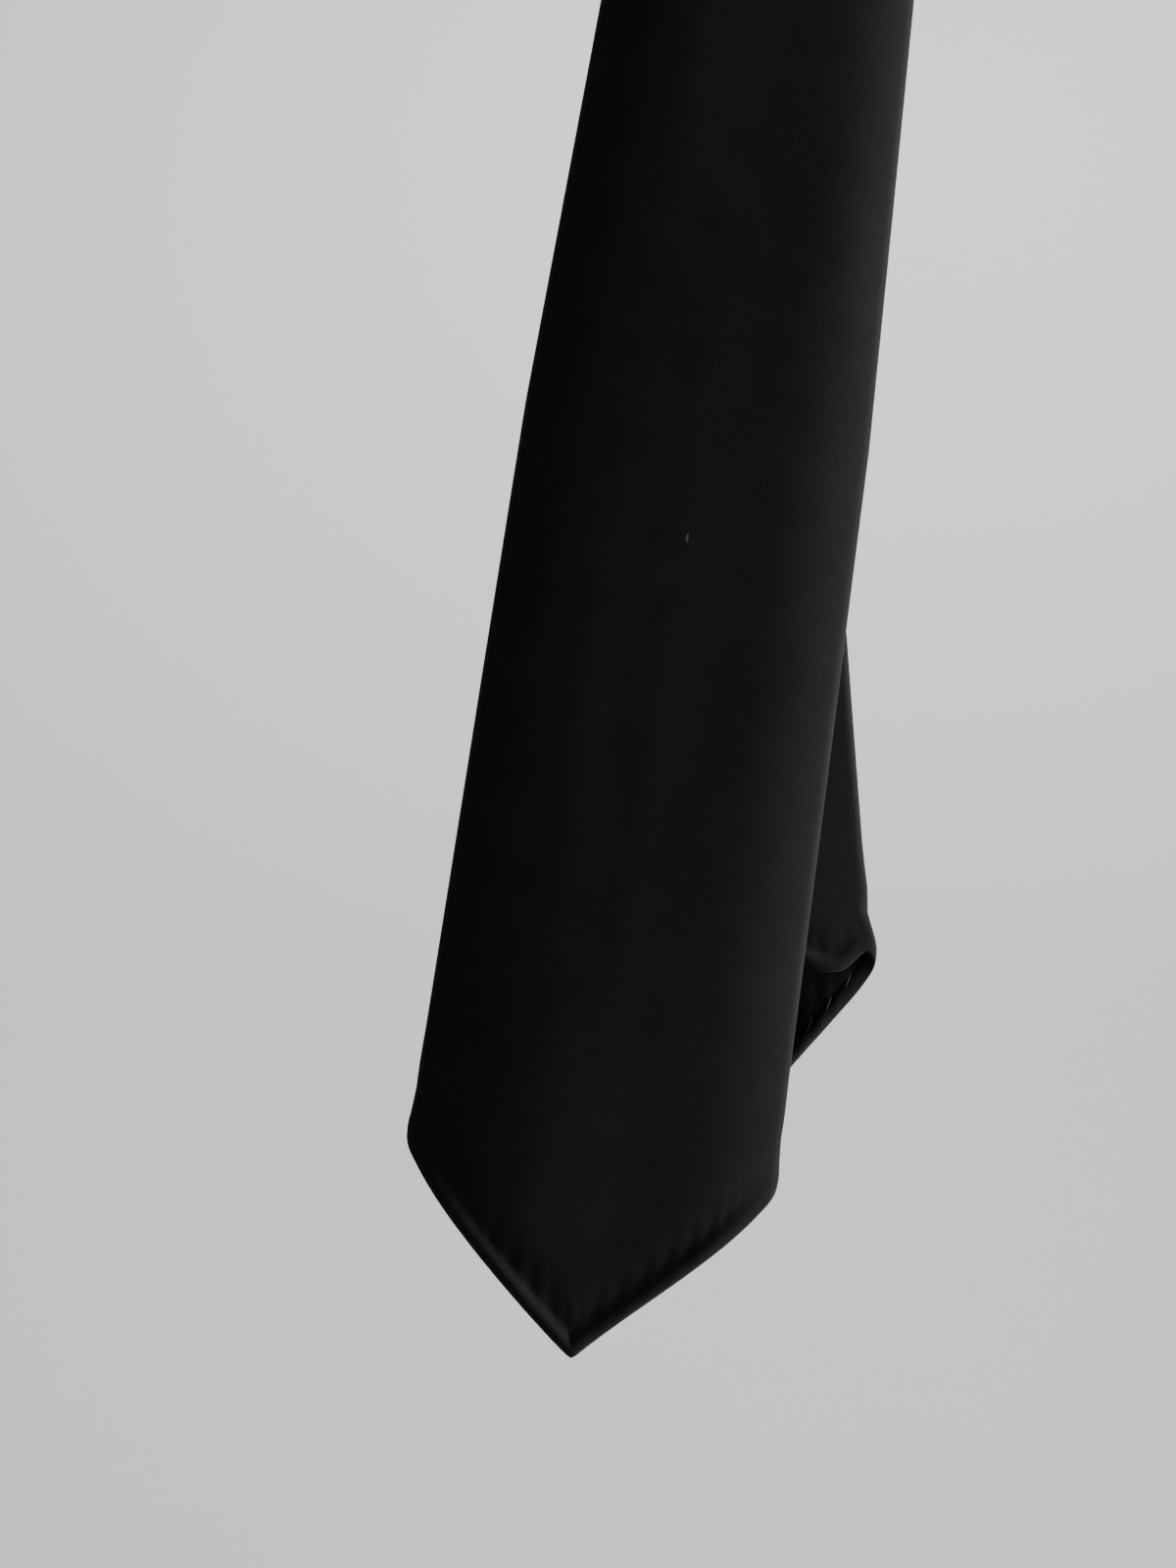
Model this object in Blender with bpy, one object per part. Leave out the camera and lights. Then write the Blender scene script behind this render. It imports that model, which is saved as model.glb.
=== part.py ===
"""A three-panel, untipped necktie with hand-rolled hems, draped over a round bar.

Metres, +Z up, +X to the right of someone who looks at the wide blade, whose face side looks
towards -Y. The origin lies on the underside of the fold, where the bar bears.

Each piece is laid out flat first, in the tie's own coordinates:
    along   from the top of the fold, positive down the wide blade, negative down the tail
    across  from the centre line, positive towards +X
    depth   from the seam side (0) to the face side (TIE_THICKNESS)
drape() then hangs that flat tie over the bar, so neighbours stay neighbours wherever it bends.
"""

import bisect
import math
from dataclasses import dataclass

import bmesh
import bpy
from mathutils import Matrix, Vector

# --- Driving dimensions -------------------------------------------------------------------------
# Lengths along the tie, from the top of the fold.
WIDE_LENGTH = 0.768
TAIL_LENGTH = 0.7085
WIDE_SEAM = 0.190
TAIL_SEAM = 0.170

# Widths of the finished, folded tie.
WIDE_WIDTH = 0.0808
WIDE_KNEE_WIDTH = 0.0757
TAIL_WIDTH = 0.049
TAIL_KNEE_WIDTH = 0.0478
NECK_WIDTH = 0.038

# Distances up from a tip, to where a blade starts to narrow and to where it is as narrow as the neck.
WIDE_KNEE = 0.205
WIDE_NECK_REACH = 0.640
TAIL_KNEE = 0.110
TAIL_NECK_REACH = 0.300

# The point of a blade: how far it drops for each unit of its half width.
POINT_DROP = 1.05

# Layers.
CLOTH = 0.0006
INTERLINING = 0.0010
CLEARANCE = 0.0003
THREAD = 0.0004
LAP = 0.008
HEM_THICKNESS = 0.0020
HEM_WIDTH = 0.0032

# How it hangs.
BAR_RADIUS = 0.006
BLADE_LEAN = math.radians(6.05)
CROSSING = 0.531
BOW_LENGTH = 0.450

# Seams run on the bias, at this slope of along against across.
BIAS = 1.0

# Keeper loop on the back of the wide blade.
KEEPER_FROM_TIP = 0.150
KEEPER_WIDTH = 0.054
KEEPER_HEIGHT = 0.014
KEEPER_ROOM = 0.0054
KEEPER_CLOTH = 0.0008
KEEPER_FOOT = 0.005

# Blank label on the back of the tail.
LABEL_FROM_TIP = 0.130
LABEL_WIDTH = 0.024
LABEL_HEIGHT = 0.040
LABEL_CLOTH = 0.0005

# Bar tacks.
TACK_FROM_OPENING = 0.012
TACK_LENGTH = 0.009
TACK_THICKNESS = 0.0010

# Stitch lengths.
SLIP_STITCH = 0.015
SLIP_SWAY = 0.0012
HEM_STITCH = 0.0045
HEM_SWAY = 0.0004
SEAM_STITCH = 0.004

# Mesh steps.
BEND_STEP = 0.0017
LEG_STEP = 0.046
FOLD_STEPS = 4

# --- Sizes that follow from them ----------------------------------------------------------------
FLAP_SPACE = THREAD + 2 * CLEARANCE
OVER_FLAP = CLOTH / 2
UNDER_FLAP = OVER_FLAP + CLOTH + FLAP_SPACE
INTERLINING_DEPTH = UNDER_FLAP + CLOTH / 2 + CLEARANCE + INTERLINING / 2
FACE_DEPTH = INTERLINING_DEPTH + INTERLINING / 2 + CLEARANCE + CLOTH / 2
TIE_THICKNESS = FACE_DEPTH + CLOTH / 2
FLAP_ROOT = (OVER_FLAP + UNDER_FLAP) / 2
FOLD_RADIUS = (FACE_DEPTH - FLAP_ROOT) / 2
BEND_RADIUS = BAR_RADIUS + TIE_THICKNESS / 2
CROWN_LEAN = BLADE_LEAN * (2 * CROSSING / BOW_LENGTH - 1)
BOW_RADIUS = BOW_LENGTH / (CROWN_LEAN + BLADE_LEAN)
SEAM_GAP = (THREAD + 2 * CLEARANCE) * math.hypot(1, BIAS)
KEEPER_RAMP = KEEPER_ROOM

# --- Colours: base colour, roughness ------------------------------------------------------------
BLACK_CLOTH = ((0.012, 0.012, 0.015), 0.85)
BLACK_THREAD = ((0.018, 0.018, 0.022), 0.70)
WOOL_INTERLINING = ((0.55, 0.52, 0.45), 0.95)
LABEL_TAPE = ((0.03, 0.03, 0.035), 0.60)


@dataclass(frozen=True)
class Blade:
    """One pointed end of the tie, with its side of the fold as a sign."""

    name: str
    side: int
    length: float
    seam: float
    width: float
    knee: float
    knee_width: float
    neck_reach: float

    def width_at(self, along):
        """Finished width, which narrows slowly up to the knee and then evenly to the neck."""
        up = self.length - abs(along)
        shoulder = POINT_DROP * self.width / 2
        stops = [shoulder, self.knee, self.neck_reach]
        widths = [self.width, self.knee_width, NECK_WIDTH]
        if up <= stops[0]:
            return widths[0]
        if up >= stops[-1]:
            return widths[-1]
        i = bisect.bisect_right(stops, up)
        share = (up - stops[i - 1]) / (stops[i] - stops[i - 1])
        return widths[i - 1] + share * (widths[i] - widths[i - 1])

    def seam_at(self, across):
        """Along-distance of the seam, as a positive length, at one place across the tie."""
        return self.seam + self.side * BIAS * across

    def opening_top(self):
        """Distance up from the tip to the top of the open V on the back."""
        return POINT_DROP * self.width


WIDE = Blade(
    "front", 1, WIDE_LENGTH, WIDE_SEAM, WIDE_WIDTH, WIDE_KNEE, WIDE_KNEE_WIDTH, WIDE_NECK_REACH
)
TAIL = Blade(
    "tail", -1, TAIL_LENGTH, TAIL_SEAM, TAIL_WIDTH, TAIL_KNEE, TAIL_KNEE_WIDTH, TAIL_NECK_REACH
)


def blade_of(along):
    return WIDE if along >= 0 else TAIL


def width_at(along):
    return blade_of(along).width_at(along)


# --- Hanging the flat tie over the bar -----------------------------------------------------------
def flat_place(along, across):
    """(x, s) in the plane that wraps the bar. The centre line bows, then runs straight."""
    reach = abs(along)
    turned = min(reach, BOW_LENGTH)
    heading = turned / BOW_RADIUS - CROWN_LEAN
    straight = reach - turned
    x = BOW_RADIUS * (math.cos(heading) - math.cos(CROWN_LEAN)) - straight * math.sin(heading)
    s = BOW_RADIUS * (math.sin(heading) + math.sin(CROWN_LEAN)) + straight * math.cos(heading)
    sign = 1 if along >= 0 else -1
    return sign * x + across * math.cos(heading), sign * s + across * math.sin(heading)


def drape(along, across, depth):
    """World place of a point of the tie."""
    x, s = flat_place(along, across)
    quarter = math.pi / 2
    bend = max(-quarter, min(quarter, s / BEND_RADIUS))
    drop = max(0.0, abs(s) - quarter * BEND_RADIUS)
    radius = BAR_RADIUS + depth
    return Vector((x, -radius * math.sin(bend), radius * math.cos(bend) - BAR_RADIUS - drop))


# --- The folded section of a panel ---------------------------------------------------------------
@dataclass(frozen=True)
class Station:
    """A place on the section of a folded panel, with how far it is from the centre, unfolded."""

    across: float
    depth: float
    unfolded: float


def half_section(width, side):
    """Stations from the middle of the face, round one side fold, to the edge of its flap."""
    flat = width / 2 - FOLD_RADIUS
    stations = [Station(side * flat * share, FACE_DEPTH, flat * share) for share in (0, 0.5, 1)]
    middle = (FACE_DEPTH + FLAP_ROOT) / 2
    for step in range(1, FOLD_STEPS + 1):
        turn = math.pi * step / FOLD_STEPS
        across = flat + FOLD_RADIUS * math.sin(turn)
        depth = middle + FOLD_RADIUS * math.cos(turn)
        stations.append(Station(side * across, depth, flat + FOLD_RADIUS * turn))
    lapped = UNDER_FLAP if side < 0 else OVER_FLAP
    lap_start = LAP / 2 + FLAP_SPACE
    for share in (0.5, 1):
        across = flat + share * (lap_start - flat)
        depth = FLAP_ROOT + share * (lapped - FLAP_ROOT)
        stations.append(Station(side * across, depth, width - across))
    stations.append(Station(-side * LAP / 2, lapped, width + LAP / 2))
    return stations


def full_section(width):
    """Stations from the edge of the left flap to the edge of the right flap."""
    left = half_section(width, -1)
    right = half_section(width, 1)
    return left[:0:-1] + right


def hem_along(blade, column):
    """Positive along-distance of the hem on one column, where the cloth's pointed edge crosses it."""
    reach = blade.length
    for _ in range(8):
        unfolded = full_section(blade.width_at(reach))[column].unfolded
        reach = blade.length - POINT_DROP * unfolded
    return reach


# --- Building solids -----------------------------------------------------------------------------
def finish_of(name, colour, roughness):
    """The material of that name, made the first time it is asked for."""
    material = bpy.data.materials.get(name)
    if material is None:
        material = bpy.data.materials.new(name)
        material.use_nodes = True
        shader = material.node_tree.nodes["Principled BSDF"]
        shader.inputs["Base Color"].default_value = (*colour, 1.0)
        shader.inputs["Roughness"].default_value = roughness
        shader.inputs["Metallic"].default_value = 0.0
    return material


def add_piece(name, data, body, finish):
    """Adds a piece to its body, with its origin on the body's hinge."""
    piece = bpy.data.objects.new(name, data)
    bpy.context.scene.collection.objects.link(piece)
    piece.parent = body
    data.transform(Matrix.Translation(-body.location))
    data.materials.append(finish_of(f"{name}_finish", *finish))
    return piece


def add_sheet(name, body, finish, grid, thickness, swell=None):
    """A sheet of cloth: a grid of places, made solid. swell gives each place's share of thickness."""
    rows = len(grid)
    columns = len(grid[0])
    bm = bmesh.new()
    made = bmesh.ops.create_grid(bm, x_segments=columns - 1, y_segments=rows - 1, size=1.0)
    bm.verts.index_update()
    shares = {}
    for vertex in made["verts"]:
        column = round((vertex.co.x + 1) / 2 * (columns - 1))
        row = round((vertex.co.y + 1) / 2 * (rows - 1))
        vertex.co = grid[row][column]
        shares[vertex.index] = swell[row][column] if swell else 1.0
    mesh = bpy.data.meshes.new(name)
    bm.to_mesh(mesh)
    bm.free()
    mesh.shade_smooth()
    piece = add_piece(name, mesh, body, finish)
    group = piece.vertex_groups.new(name="thickness")
    for index, share in shares.items():
        group.add([index], share, "REPLACE")
    solid = piece.modifiers.new("cloth", "SOLIDIFY")
    solid.thickness = thickness
    solid.offset = 0.0
    solid.use_even_offset = True
    solid.use_quality_normals = True
    solid.vertex_group = "thickness"
    return piece


def add_thread(name, body, finish, places, diameter):
    """A thread: a round tube with capped ends along its places."""
    curve = bpy.data.curves.new(name, "CURVE")
    curve.dimensions = "3D"
    curve.bevel_depth = diameter / 2
    curve.bevel_resolution = 1
    curve.use_fill_caps = True
    line = curve.splines.new("POLY")
    line.points.add(len(places) - 1)
    for point, place in zip(line.points, places):
        point.co = (*place, 1.0)
    return add_piece(name, curve, body, finish)


def evenly(start, end, step):
    """Values from start to end, no further apart than step."""
    count = max(1, math.ceil(abs(end - start) / step))
    return [start + (end - start) * i / count for i in range(count + 1)]


def rows_over_bend(start, end):
    """Along-distances from start to end, close together where the tie bends over the bar."""
    half_bend = math.pi / 2 * BEND_RADIUS / math.cos(CROWN_LEAN)
    bend = half_bend + NECK_WIDTH / 2 * math.tan(CROWN_LEAN)
    upper = evenly(start, -bend, LEG_STEP)
    middle = evenly(-bend, bend, BEND_STEP)
    lower = evenly(bend, end, LEG_STEP)
    return upper + middle[1:-1] + lower


# --- Panels --------------------------------------------------------------------------------------
def hem_share(station, width, from_hem):
    """Share of the hem's thickness at a place: full at the hem, plain cloth beyond its width."""
    lapped = station.unfolded > width - LAP
    if lapped or from_hem > HEM_WIDTH:
        return CLOTH / HEM_THICKNESS
    roll = math.sqrt(max(0.0, 1 - (2 * from_hem / HEM_WIDTH - 1) ** 2))
    return max(CLOTH / HEM_THICKNESS, roll)


def blade_panel(blade, body):
    """The pointed shell of a blade: face, two side folds and two flaps, with a rolled hem."""
    columns = len(full_section(blade.width))
    hem_rows = [HEM_WIDTH * share for share in (0.03, 0.2, 0.5, 0.8, 1.01, 2.5)]
    body_rows = [step / 14 for step in range(15)]
    grid = []
    shares = []
    for row in range(len(hem_rows) + len(body_rows) - 1):
        places = []
        row_shares = []
        for column in range(columns):
            hem = hem_along(blade, column)
            across = full_section(blade.width_at(blade.seam))[column].across
            top = blade.seam_at(across) + SEAM_GAP / 2
            last_hem_row = hem - hem_rows[-1]
            if row < len(hem_rows):
                reach = hem - hem_rows[row]
            else:
                share = body_rows[row - len(hem_rows) + 1]
                reach = last_hem_row + share * (top - last_hem_row)
            width = blade.width_at(reach)
            station = full_section(width)[column]
            places.append(drape(blade.side * reach, station.across, station.depth))
            row_shares.append(hem_share(station, width, hem - reach))
        grid.append(places)
        shares.append(row_shares)
    add_sheet(f"{blade.name}_panel", body, BLACK_CLOTH, grid, HEM_THICKNESS, shares)


def neck_rows():
    """Along-distances of the neck's rows at the centre line, and each row's share of each seam's slope."""
    rows = rows_over_bend(-TAIL_SEAM, WIDE_SEAM)
    slopes = []
    for along in rows:
        seam = WIDE_SEAM if along > 0 else TAIL_SEAM
        slopes.append(max(0.0, (abs(along) - seam / 2) / (seam / 2)))
    return rows, slopes


def neck_place_along(along, slope, across):
    """Along-distance at a place of a neck row, which slants more towards the seams and ends short of them."""
    sign = 1 if along > 0 else -1
    return along + slope * (BIAS * across - sign * SEAM_GAP / 2)


def neck_panel(body):
    """The plain folded shell that goes round the neck, between the two bias seams."""
    grid = []
    shares = []
    for along, slope in zip(*neck_rows()):
        places = []
        for column in range(len(full_section(NECK_WIDTH))):
            seam_width = width_at(along)
            across = full_section(seam_width)[column].across
            reach = neck_place_along(along, slope, across)
            station = full_section(width_at(reach))[column]
            places.append(drape(reach, station.across, station.depth))
        grid.append(places)
        shares.append([CLOTH / HEM_THICKNESS] * len(places))
    add_sheet("neck_panel", body, BLACK_CLOTH, grid, HEM_THICKNESS, shares)


# --- Interlinings --------------------------------------------------------------------------------
INTERLINING_COLUMNS = (-1, -0.5, 0, 0.5, 1)


def interlining_half(width):
    return width / 2 - FOLD_RADIUS


def blade_interlining(blade, body):
    """Woven wool core of a blade. It stops short of the open V, with the same shape as the V."""
    grid = []
    for step in range(13):
        places = []
        for column in INTERLINING_COLUMNS:
            across = column * interlining_half(blade.width_at(blade.seam))
            top = blade.seam_at(across) + SEAM_GAP / 2
            opening = POINT_DROP * (blade.width - abs(column) * interlining_half(blade.width))
            bottom = blade.length - opening - 2 * HEM_WIDTH
            reach = bottom + step / 12 * (top - bottom)
            half = interlining_half(blade.width_at(reach))
            places.append(drape(blade.side * reach, column * half, INTERLINING_DEPTH))
        grid.append(places)
    add_sheet(f"{blade.name}_interlining", body, WOOL_INTERLINING, grid, INTERLINING)


def neck_interlining(body):
    grid = []
    for along, slope in zip(*neck_rows()):
        places = []
        for column in INTERLINING_COLUMNS:
            across = column * interlining_half(width_at(along))
            reach = neck_place_along(along, slope, across)
            half = interlining_half(width_at(reach))
            places.append(drape(reach, column * half, INTERLINING_DEPTH))
        grid.append(places)
    add_sheet("neck_interlining", body, WOOL_INTERLINING, grid, INTERLINING)


# --- Threads -------------------------------------------------------------------------------------
def slip_stitch(name, body, alongs):
    """The long running thread between the two lapped flaps, which closes the back."""
    depth = (OVER_FLAP + UNDER_FLAP) / 2
    places = []
    for i, along in enumerate(alongs):
        sway = SLIP_SWAY if i % 2 else -SLIP_SWAY
        places.append(drape(along, sway, depth))
    add_thread(name, body, BLACK_THREAD, places, THREAD)


def blade_slip_stitch(blade, body):
    start = blade.seam + BIAS * SLIP_SWAY + SEAM_GAP
    end = blade.length - blade.opening_top() - TACK_FROM_OPENING / 2
    alongs = [blade.side * reach for reach in evenly(start, end, SLIP_STITCH)]
    slip_stitch(f"{blade.name}_slip_stitch", body, alongs)


def neck_slip_stitch(body):
    margin = BIAS * SLIP_SWAY + SEAM_GAP
    start = -TAIL_SEAM + margin
    end = WIDE_SEAM - margin
    bend = math.pi / 2 * BEND_RADIUS + SLIP_STITCH / 3
    upper = evenly(start, -bend, SLIP_STITCH)
    middle = evenly(-bend, bend, BEND_STEP)
    lower = evenly(bend, end, SLIP_STITCH)
    depth = (OVER_FLAP + UNDER_FLAP) / 2
    places = [drape(along, 0.0, depth) for along in upper + middle[1:-1] + lower]
    add_thread("neck_slip_stitch", body, BLACK_THREAD, places, THREAD)


def seam_thread(name, blade, body, depth):
    """Machine stitches in a bias seam, between the ends of the two pieces that it joins."""
    seam_half = interlining_half(blade.width_at(blade.seam))
    places = []
    for across in evenly(-seam_half, seam_half, SEAM_STITCH):
        reach = blade.seam_at(across)
        narrowing = interlining_half(blade.width_at(reach)) / seam_half
        places.append(drape(blade.side * reach, across * narrowing, depth))
    add_thread(name, body, BLACK_THREAD, places, THREAD)


def seam_threads(blade, body):
    seam_thread(f"{blade.name}_seam_thread", blade, body, FACE_DEPTH)
    seam_thread(f"{blade.name}_interlining_thread", blade, body, INTERLINING_DEPTH)


def hem_threads(blade, body):
    """Hand stitches on the back of the point, along the inner edge of each rolled hem."""
    depth = FACE_DEPTH - CLOTH / 2 - CLEARANCE - THREAD / 2
    inset = HEM_WIDTH + CLEARANCE + THREAD / 2 + HEM_SWAY
    for side, word in ((-1, "left"), (1, "right")):
        places = []
        reach_across = blade.width / 2 - FOLD_RADIUS - HEM_WIDTH
        for i, across in enumerate(evenly(HEM_WIDTH, reach_across, HEM_STITCH / 2)):
            sway = HEM_SWAY if i % 2 else -HEM_SWAY
            rise = (inset + sway) * math.hypot(1, POINT_DROP)
            reach = blade.length - POINT_DROP * across - rise
            places.append(drape(blade.side * reach, side * across, depth))
        add_thread(f"{blade.name}_hem_thread_{word}", body, BLACK_THREAD, places, THREAD)


def tack(name, body, along, start, end, lift):
    """A short, thick bar of overcast stitches across the tie, lift above the seam side."""
    depth = -lift - TACK_THICKNESS / 2
    places = [drape(along, across, depth) for across in evenly(start, end, TACK_LENGTH / 3)]
    add_thread(name, body, BLACK_THREAD, places, TACK_THICKNESS)


def bar_tack(blade, body):
    """The tack that stops the flaps from opening further, above the open V."""
    reach = blade.length - blade.opening_top() - TACK_FROM_OPENING
    start = -TACK_LENGTH / 2
    tack(f"{blade.name}_bar_tack", body, blade.side * reach, start, -start, CLEARANCE)


# --- Keeper loop and label ------------------------------------------------------------------------
def keeper_loop(body):
    """A band across the back of the wide blade, flat at its two feet and arched between them."""
    half = KEEPER_WIDTH / 2
    foot_depth = -CLEARANCE - KEEPER_CLOTH / 2
    arch_depth = foot_depth - KEEPER_ROOM
    profile = [
        (-half, foot_depth),
        (-half + KEEPER_FOOT, foot_depth),
        (-half + KEEPER_FOOT + KEEPER_RAMP / 2, (foot_depth + arch_depth) / 2),
        (-half + KEEPER_FOOT + KEEPER_RAMP, arch_depth),
        (0.0, arch_depth),
    ]
    profile += [(-across, depth) for across, depth in profile[-2::-1]]
    middle = WIDE.length - KEEPER_FROM_TIP
    grid = []
    for along in evenly(middle - KEEPER_HEIGHT / 2, middle + KEEPER_HEIGHT / 2, KEEPER_HEIGHT / 2):
        grid.append([drape(along, across, depth) for across, depth in profile])
    add_sheet("keeper_loop", body, BLACK_CLOTH, grid, KEEPER_CLOTH)
    for side, word in ((-1, "left"), (1, "right")):
        middle_of_foot = side * (half - KEEPER_FOOT / 2)
        start = middle_of_foot - KEEPER_FOOT / 3
        end = middle_of_foot + KEEPER_FOOT / 3
        lift = 2 * CLEARANCE + KEEPER_CLOTH
        tack(f"keeper_tack_{word}", body, middle, start, end, lift)


def care_label(body):
    """A blank tape label on the back of the tail, held by a row of stitches at its top and bottom."""
    middle = TAIL.length - LABEL_FROM_TIP
    depth = -CLEARANCE - LABEL_CLOTH / 2
    grid = []
    for reach in evenly(middle - LABEL_HEIGHT / 2, middle + LABEL_HEIGHT / 2, LABEL_HEIGHT / 2):
        grid.append([drape(-reach, across, depth) for across in (-LABEL_WIDTH / 2, 0, LABEL_WIDTH / 2)])
    add_sheet("care_label", body, LABEL_TAPE, grid, LABEL_CLOTH)
    thread_depth = depth - LABEL_CLOTH / 2 - CLEARANCE - THREAD / 2
    for end, word in ((-1, "top"), (1, "bottom")):
        reach = middle + end * (LABEL_HEIGHT / 2 - 2 * THREAD)
        places = []
        for i, across in enumerate(evenly(-LABEL_WIDTH / 2, LABEL_WIDTH / 2, SEAM_STITCH / 2)):
            sway = THREAD / 2 if i % 2 else -THREAD / 2
            places.append(drape(-(reach + sway), across, thread_depth))
        add_thread(f"label_stitch_{word}", body, BLACK_THREAD, places, THREAD)


# --- Assembly -------------------------------------------------------------------------------------
def clear_scene():
    for obj in list(bpy.data.objects):
        bpy.data.objects.remove(obj, do_unlink=True)


def add_body(name, location=(0.0, 0.0, 0.0)):
    """An empty on the hinge that its pieces turn about."""
    body = bpy.data.objects.new(name, None)
    bpy.context.scene.collection.objects.link(body)
    body.location = location
    body.empty_display_size = 0.02
    return body


def hinge_of(blade):
    """The hinge lies on the face side, level with the upper end of the seam, so the seam opens at the back."""
    across = -blade.side * blade.width_at(blade.seam) / 2
    upper_end = drape(blade.side * blade.seam_at(across), across, TIE_THICKNESS)
    middle = drape(blade.side * blade.seam, 0.0, TIE_THICKNESS)
    return Vector((middle.x, middle.y, upper_end.z))


def main():
    clear_scene()
    neck = add_body("neck")
    neck_panel(neck)
    neck_interlining(neck)
    neck_slip_stitch(neck)
    bodies = {}
    for blade in (WIDE, TAIL):
        body = add_body(f"{blade.name}_blade", hinge_of(blade))
        bodies[blade.name] = body
        blade_panel(blade, body)
        blade_interlining(blade, body)
        blade_slip_stitch(blade, body)
        seam_threads(blade, neck)
        hem_threads(blade, body)
        bar_tack(blade, body)
    keeper_loop(bodies["front"])
    care_label(bodies["tail"])


main()
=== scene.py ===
"""The looks of a black, untipped necktie that hangs folded over a bar, and the studio round it.

Lengths are in metres in the row frame: +Z up, +X to the right of someone who looks at the wide
blade, and the blade's face side towards -Y. Each piece is laid out flat in the tie's own
coordinates (reach along it, across it, and depth from its seam side to its face side) and is then
draped over the bar, the same way as the frame's own solids.
"""

import logging
import math
from dataclasses import dataclass, field
from enum import Enum
from typing import Callable, Iterable

import bmesh
import bpy
from mathutils import Matrix, Vector


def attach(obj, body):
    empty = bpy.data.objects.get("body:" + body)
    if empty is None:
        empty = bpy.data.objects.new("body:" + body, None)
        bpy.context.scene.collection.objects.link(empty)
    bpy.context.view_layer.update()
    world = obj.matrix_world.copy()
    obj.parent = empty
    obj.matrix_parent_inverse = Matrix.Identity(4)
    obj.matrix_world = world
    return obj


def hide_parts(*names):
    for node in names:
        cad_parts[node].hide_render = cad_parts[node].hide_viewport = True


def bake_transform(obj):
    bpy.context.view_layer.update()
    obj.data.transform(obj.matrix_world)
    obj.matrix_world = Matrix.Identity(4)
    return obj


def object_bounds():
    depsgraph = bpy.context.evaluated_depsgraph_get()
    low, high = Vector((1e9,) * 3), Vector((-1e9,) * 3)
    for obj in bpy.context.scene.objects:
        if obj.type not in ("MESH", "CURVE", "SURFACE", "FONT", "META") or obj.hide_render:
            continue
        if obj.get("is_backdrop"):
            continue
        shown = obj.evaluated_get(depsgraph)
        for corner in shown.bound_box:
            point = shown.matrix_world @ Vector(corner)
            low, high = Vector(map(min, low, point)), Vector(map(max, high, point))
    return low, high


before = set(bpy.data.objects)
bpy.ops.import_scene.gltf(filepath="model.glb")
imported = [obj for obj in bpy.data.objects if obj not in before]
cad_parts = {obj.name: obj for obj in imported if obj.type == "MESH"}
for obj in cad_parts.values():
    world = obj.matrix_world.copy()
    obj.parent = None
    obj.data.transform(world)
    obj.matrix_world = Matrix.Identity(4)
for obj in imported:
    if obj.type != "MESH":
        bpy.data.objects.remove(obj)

LOG = logging.getLogger("necktie")
CAD_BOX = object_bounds()
Row = list[tuple[Vector, tuple[float, float]]]


class Slot(Enum):
    """Material slots of the record."""

    SHELL = "shell_cloth"
    INTERLINING = "interlining_wool"
    THREAD = "sewing_thread"
    LABEL = "label_tape"


class Body(Enum):
    """Rigid bodies of the frame."""

    NECK = "neck"
    FRONT = "front_blade"
    TAIL = "tail_blade"


def smooth_step(low: float, high: float, value: float) -> float:
    """Rises smoothly from 0 at low to 1 at high."""
    t = min(1.0, max(0.0, (value - low) / (high - low)))
    return t * t * (3 - 2 * t)


def evenly(start: float, end: float, step: float) -> list[float]:
    """Values from start to end, no further apart than step.

    Args:
        start: First value.
        end: Last value.
        step: Largest distance between two values.

    Returns:
        The values, both ends included.
    """
    count = max(1, math.ceil(abs(end - start) / step))
    return [start + (end - start) * i / count for i in range(count + 1)]


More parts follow.
